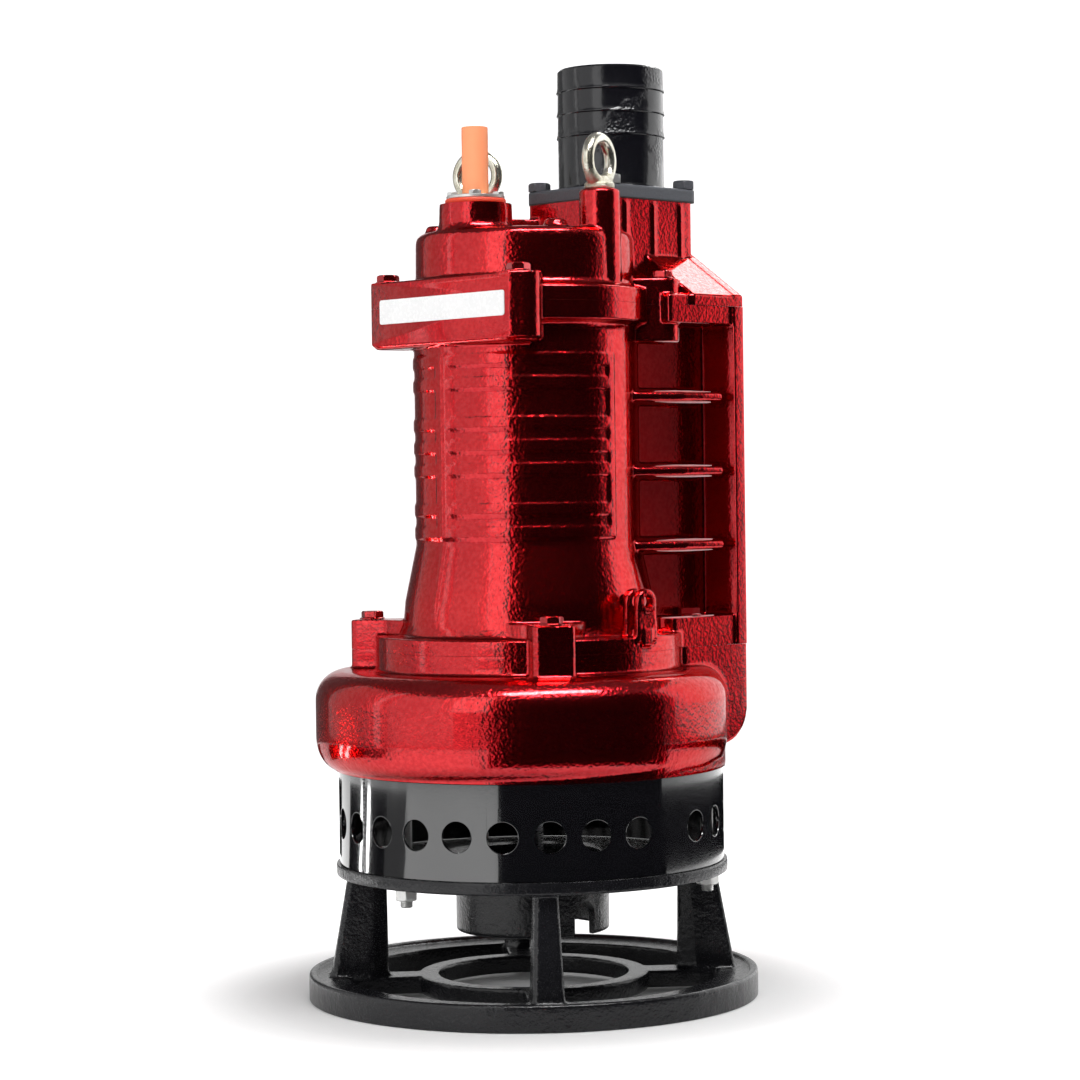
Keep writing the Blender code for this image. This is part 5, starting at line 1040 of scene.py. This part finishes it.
def make_tail():
    flange_top = TAIL_BOTTOM + 0.012
    lowest, pitch, lip = flange_top + 0.0510, 0.0223, 0.0225
    top = lowest + pitch * 2 + lip
    profile = [(TAIL_BORE, top - 0.0006), (TAIL_BORE + 0.0006, top), (TAIL_RADIUS - 0.0018, top),
               (TAIL_RADIUS, top - 0.0018)]
    for index in (2, 1, 0):
        step = lowest + pitch * index
        profile += lifted(step, [(TAIL_RADIUS + 0.0004, 0.0050), (TAIL_RADIUS + 0.0012, 0.0012),
                                 (TAIL_RADIUS + 0.0015, 0.0005), (TAIL_RADIUS + 0.0015, 0.0),
                                 (TAIL_RADIUS, -0.0010)])
    profile += [(TAIL_RADIUS, flange_top + 0.004), (TAIL_RADIUS + 0.0012, flange_top + 0.0012),
                (TAIL_RADIUS + 0.0040, flange_top - 0.0005), (TAIL_BORE, flange_top - 0.0005)]
    spout = turned("tail_spout", profile, 200, (TAIL_X, 0.0), closed=True)
    dressed(spout, "hose_tail_paint", "hose_tail", sharp=30.0, slot="gloss_black_enamel")
    work = bmesh.new()
    add_slab(work, tail_outline(), TAIL_BOTTOM - SPARE, flange_top)
    flange = cast("tail_flange", work, 0.0014, 2, [
        all_below(TAIL_BOTTOM),
        bore(TAIL_BORE, TAIL_BOTTOM - REACH, flange_top + REACH, (TAIL_X, 0.0))], 60000)
    dressed(flange, "grey_black_coating")
    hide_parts("hose_tail")
    for index, (x, y) in enumerate([(a, b) for a in (-1, 1) for b in (-1, 1)]):
        centre = (TAIL_X + x * BOLT_PLACE, y * BOLT_PLACE)
        finish = "bright_zinc" if index == 0 else "grey_black_coating"
        add_joint_bolt("tail_bolt_%d" % (index + 1), flange_top, centre, 20.0 + 31.0 * index,
                       "hose_tail_bolt_%d" % (index + 1), finish, "grey_black_coating", 0.0085, 0.0)
    gasket = upright("tail_gasket", tail_outline(0.0085), BOX_TOP + GAP, TAIL_BOTTOM - GAP)
    cut_by(gasket, [bore(TAIL_BORE, BOX_TOP - REACH, TAIL_BOTTOM + REACH, (TAIL_X, 0.0))])
    dressed(gasket, "black_rubber", "hose_tail_gasket")


# Agitator on the shaft's end

def make_agitator():
    bottom, top, hub, tip = 0.074, 0.114, 0.020, 0.0555
    work = bmesh.new()
    add_turned(work, [(hub, top - 0.001), (hub, bottom + 0.002), (hub - 0.002, bottom), (0.0114, bottom),
                      (0.0114, top), (hub - 0.001, top)], 96, closed=True)
    for index in range(3):
        rings = []
        for step in range(9):
            radius = hub - 0.004 + (tip - hub + 0.004) * step / 8
            half = 0.0038 - 0.0012 * step / 8
            blade = turned_in_plan(rectangle((-half, -0.016), (half, 0.016)), 34.0)
            rings.append([(radius, y, (bottom + top) / 2 + z) for y, z in blade])
        turn_about(work, add_loft(work, rings), Matrix.Rotation(radians(120.0 * index), 4, "Z"))
    agitator = cast("agitator_casting", work, 0.0010, 2, (), 80000)
    dressed(agitator, "cast_iron", "agitator", body="rotor")


# Nodes inside the pump that keep their own solids

INNER_FINISHES = {
    "cast_iron": ("suction_cover", "oil_housing", "lower_bearing_bracket", "upper_bearing_bracket",
                  "stator_core", "impeller"),
    "copper_winding": ("stator_winding_lower", "stator_winding_upper"),
    "machined_steel": ("pump_shaft", "rotor_core", "impeller_nut", "lower_bearing_outer_race",
                       "upper_bearing_outer_race", "lower_bearing_inner_race", "upper_bearing_inner_race",
                       "lower_bearing_ball_set", "upper_bearing_ball_set"),
    "hard_carbide": ("seal_seat", "seal_ring"),
}


def finish_inner_nodes():
    for finish, names in INNER_FINISHES.items():
        for name in names:
            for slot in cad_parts[name].material_slots:
                slot.material = FINISHES[finish]


# Floor, light and camera

def staged(name, work, material):
    thing = placed(name, work)
    thing.data.materials.append(material)
    return thing


def seen_only_by(ray, *things):
    for thing in things:
        for kind in ("camera", "diffuse", "glossy", "transmission", "shadow"):
            setattr(thing, "visible_" + kind, kind == ray)


def plain_stage_material(name, colour, sheen=0.2, **more):
    finish = Finish(name)
    finish.set(base_color=(*colour, 1.0), roughness=1.0, specular_ior_level=sheen, **more)
    return finish.material


def glowing_stage_material(name, strength):
    return plain_stage_material(name, (1.0, 1.0, 1.0), emission_color=(1.0, 1.0, 1.0, 1.0),
                                emission_strength=strength)


def make_floor():
    work = bmesh.new()
    add_slab(work, circle(2.4, 128), -0.02, -0.0005)
    paper = Finish("pale_floor")
    length = paper.node("ShaderNodeVectorMath", {"operation": "LENGTH"}, {0: paper.place}).outputs["Value"]
    # The floor glows more and more away from the pump: painted light, which leaves the floor next to the pump
    # darker as a painted shadow.
    glow = paper.blend(Level(paper, length).rising(0.22, 0.44), (0.02, 0.02, 0.02), (0.70, 0.70, 0.70))
    paper.set(base_color=(0.84, 0.84, 0.84, 1.0), roughness=0.7, specular_ior_level=0.2,
              emission_color=glow, emission_strength=1.0)
    staged("floor", work, paper.material)


def arc_wall(name, near, far, distance, height, material):
    """An upright curved sheet round the pump, between two directions."""
    rings = []
    for step in range(33):
        angle = near + (far - near) * step / 32
        rings.append([(*polar(distance, angle), 0.0), (*polar(distance, angle), height),
                      (*polar(distance + 0.03, angle), height), (*polar(distance + 0.03, angle), 0.0)])
    work = bmesh.new()
    add_loft(work, rings)
    return staged(name, work, material)


def make_backdrop():
    """The bright paper behind the pump, seen by the camera alone."""
    paper = glowing_stage_material("paper", 1.0)
    work = bmesh.new()
    add_slab(work, circle(20.0, 96), -0.5, -0.4)
    near_floor = staged("paper_floor", work, paper)
    seen_only_by("camera", near_floor, arc_wall("paper_wall", 0.0, 95.0, 8.0, 6.0, paper))


def make_cards():
    """Dark studio flats between the camera and the pump, and bright ones round it, seen only in the gloss."""
    dark = plain_stage_material("dark_flat", (0.004, 0.004, 0.005), 0.0)
    bright = glowing_stage_material("bright_strip", 13.0)
    cards = [arc_wall("dark_flat", -151.0, -53.0, 2.0, 1.9, dark),
             arc_wall("rear_card", 30.0, 62.0, 7.5, 6.0, glowing_stage_material("rear_card", 0.6))]
    grey = plain_stage_material("grey_sheet", (0.16, 0.16, 0.16))
    sheets = [("dark_ground", -151.0, -53.0, 0.40, dark), ("dark_left", 121.0, 136.0, 0.75, dark),
              ("grey_left", 136.0, 152.0, 0.75, grey), ("dark_right", -53.0, 76.0, 1.15, dark),
              ("dark_end", 95.0, 111.0, 0.75, dark), ("glow_left", 111.0, 113.5, 0.75, bright),
              ("glow_right", 118.0, 121.0, 0.75, bright), ("dark_between", 113.5, 118.0, 0.75, dark)]
    # A faintly glowing sheet beside the duct, seen only in the gloss: painted shade, reflected dark red in
    # the duct's walls and windows.
    work = bmesh.new()
    add_box(work, (0.074, -0.1010, 0.350), (0.150, -0.1005, 0.636))
    cards.append(staged("duct_shade", work, glowing_stage_material("duct_shade", 0.11)))
    for name, angle, distance, height, size, strength in (
            ("top_glow", -110.0, 1.25, 2.62, (1.9, 0.5), 26.0),
            ("rear_glow", 21.0, 2.4, 2.75, (0.9, 0.9), 7.0)):
        work = bmesh.new()
        add_box(work, (-size[0] / 2, -size[1] / 2, -0.002), (size[0] / 2, size[1] / 2, 0.002))
        place = Vector((*polar(distance, angle), height))
        aim = (Vector((0.0, 0.0, 0.45)) - place).to_track_quat("-Z", "Y").to_matrix().to_4x4()
        turn_about(work, list(work.verts), Matrix.Translation(place) @ aim)
        cards.append(staged(name, work, glowing_stage_material(name, strength)))
    for name, near, far, inner, material in sheets:
        edge = [polar(2.2, near + (far - near) * step / 24) for step in range(25)]
        edge += [polar(inner, far + (near - far) * step / 24) for step in range(25)]
        work = bmesh.new()
        add_slab(work, edge, 0.0002, 0.0010)
        cards.append(staged(name, work, material))
    seen_only_by("glossy", *cards)


def add_softbox(name, angle, distance, height, size, glow, aim=1.33):
    """A rectangular light whose face has one brightness, however large it is."""
    light = bpy.data.lights.new(name, "AREA")
    light.shape = "RECTANGLE"
    light.size, light.size_y = size
    light.energy = glow * pi * size[0] * size[1]
    lamp = linked(name, light)
    lamp.location = (*polar(distance, angle), height)
    lamp.rotation_euler = (Vector((0.0, 0.0, aim)) - lamp.location).to_track_quat("-Z", "Y").to_euler()
    return lamp


def light_the_scene():
    world = bpy.data.worlds.new("studio")
    world.use_nodes = True
    background = world.node_tree.nodes["Background"]
    background.inputs["Color"].default_value = (1.0, 1.0, 1.0, 1.0)
    background.inputs["Strength"].default_value = 0.18
    bpy.context.scene.world = world
    bpy.context.scene.view_settings.view_transform = "Standard"
    add_softbox("edge_softbox", 199.0, 2.5, 1.5, (0.9, 2.6), 1.9)
    add_softbox("left_softbox", 170.0, 2.6, 1.33, (1.9, 2.6), 0.95)
    add_softbox("side_softbox", 122.0, 2.6, 1.33, (2.6, 2.6), 0.6)
    add_softbox("inner_strip", 143.0, 2.3, 1.33, (0.20, 2.6), 1.6)
    add_softbox("right_softbox", -8.0, 2.6, 1.33, (3.6, 2.6), 1.6)
    add_softbox("top_softbox", -110.0, 1.3, 2.7, (1.9, 1.5), 5.6, 0.45).visible_glossy = False


def aim_camera():
    """The photograph's viewpoint: its place, its three small turns and its lens."""
    focal, distance, height = 97.58, 2.8063, 0.480
    pitch, roll, yaw, view_turn = -0.0162, -0.0131, 0.0041, -42.6
    forward = Vector((sin(yaw) * cos(pitch), cos(yaw) * cos(pitch), sin(pitch)))
    right = Vector((cos(yaw), -sin(yaw), 0.0))
    up = right.cross(forward)
    right, up = right * cos(roll) + up * sin(roll), up * cos(roll) - right * sin(roll)
    aim = Matrix((right, up, -forward)).transposed().to_4x4()
    turn = Matrix.Rotation(radians(view_turn), 4, "Z")
    lens = bpy.data.cameras.new("camera")
    lens.lens, lens.sensor_width = focal, 36.0
    lens.clip_start, lens.clip_end = 0.05, 60.0
    camera = linked("camera", lens)
    camera.matrix_world = turn @ Matrix.Translation((0.0, -distance, height)) @ aim
    bpy.context.scene.camera = camera


for make in (aim_camera, light_the_scene, make_floor, make_backdrop, make_cards, make_stand, make_skirt,
             make_studs, make_strainer, make_volute, make_housing, make_joint_bolts, make_cover, make_plate,
             make_gland, make_cable, make_eye_bolts, make_tail, make_agitator, finish_inner_nodes):
    make()
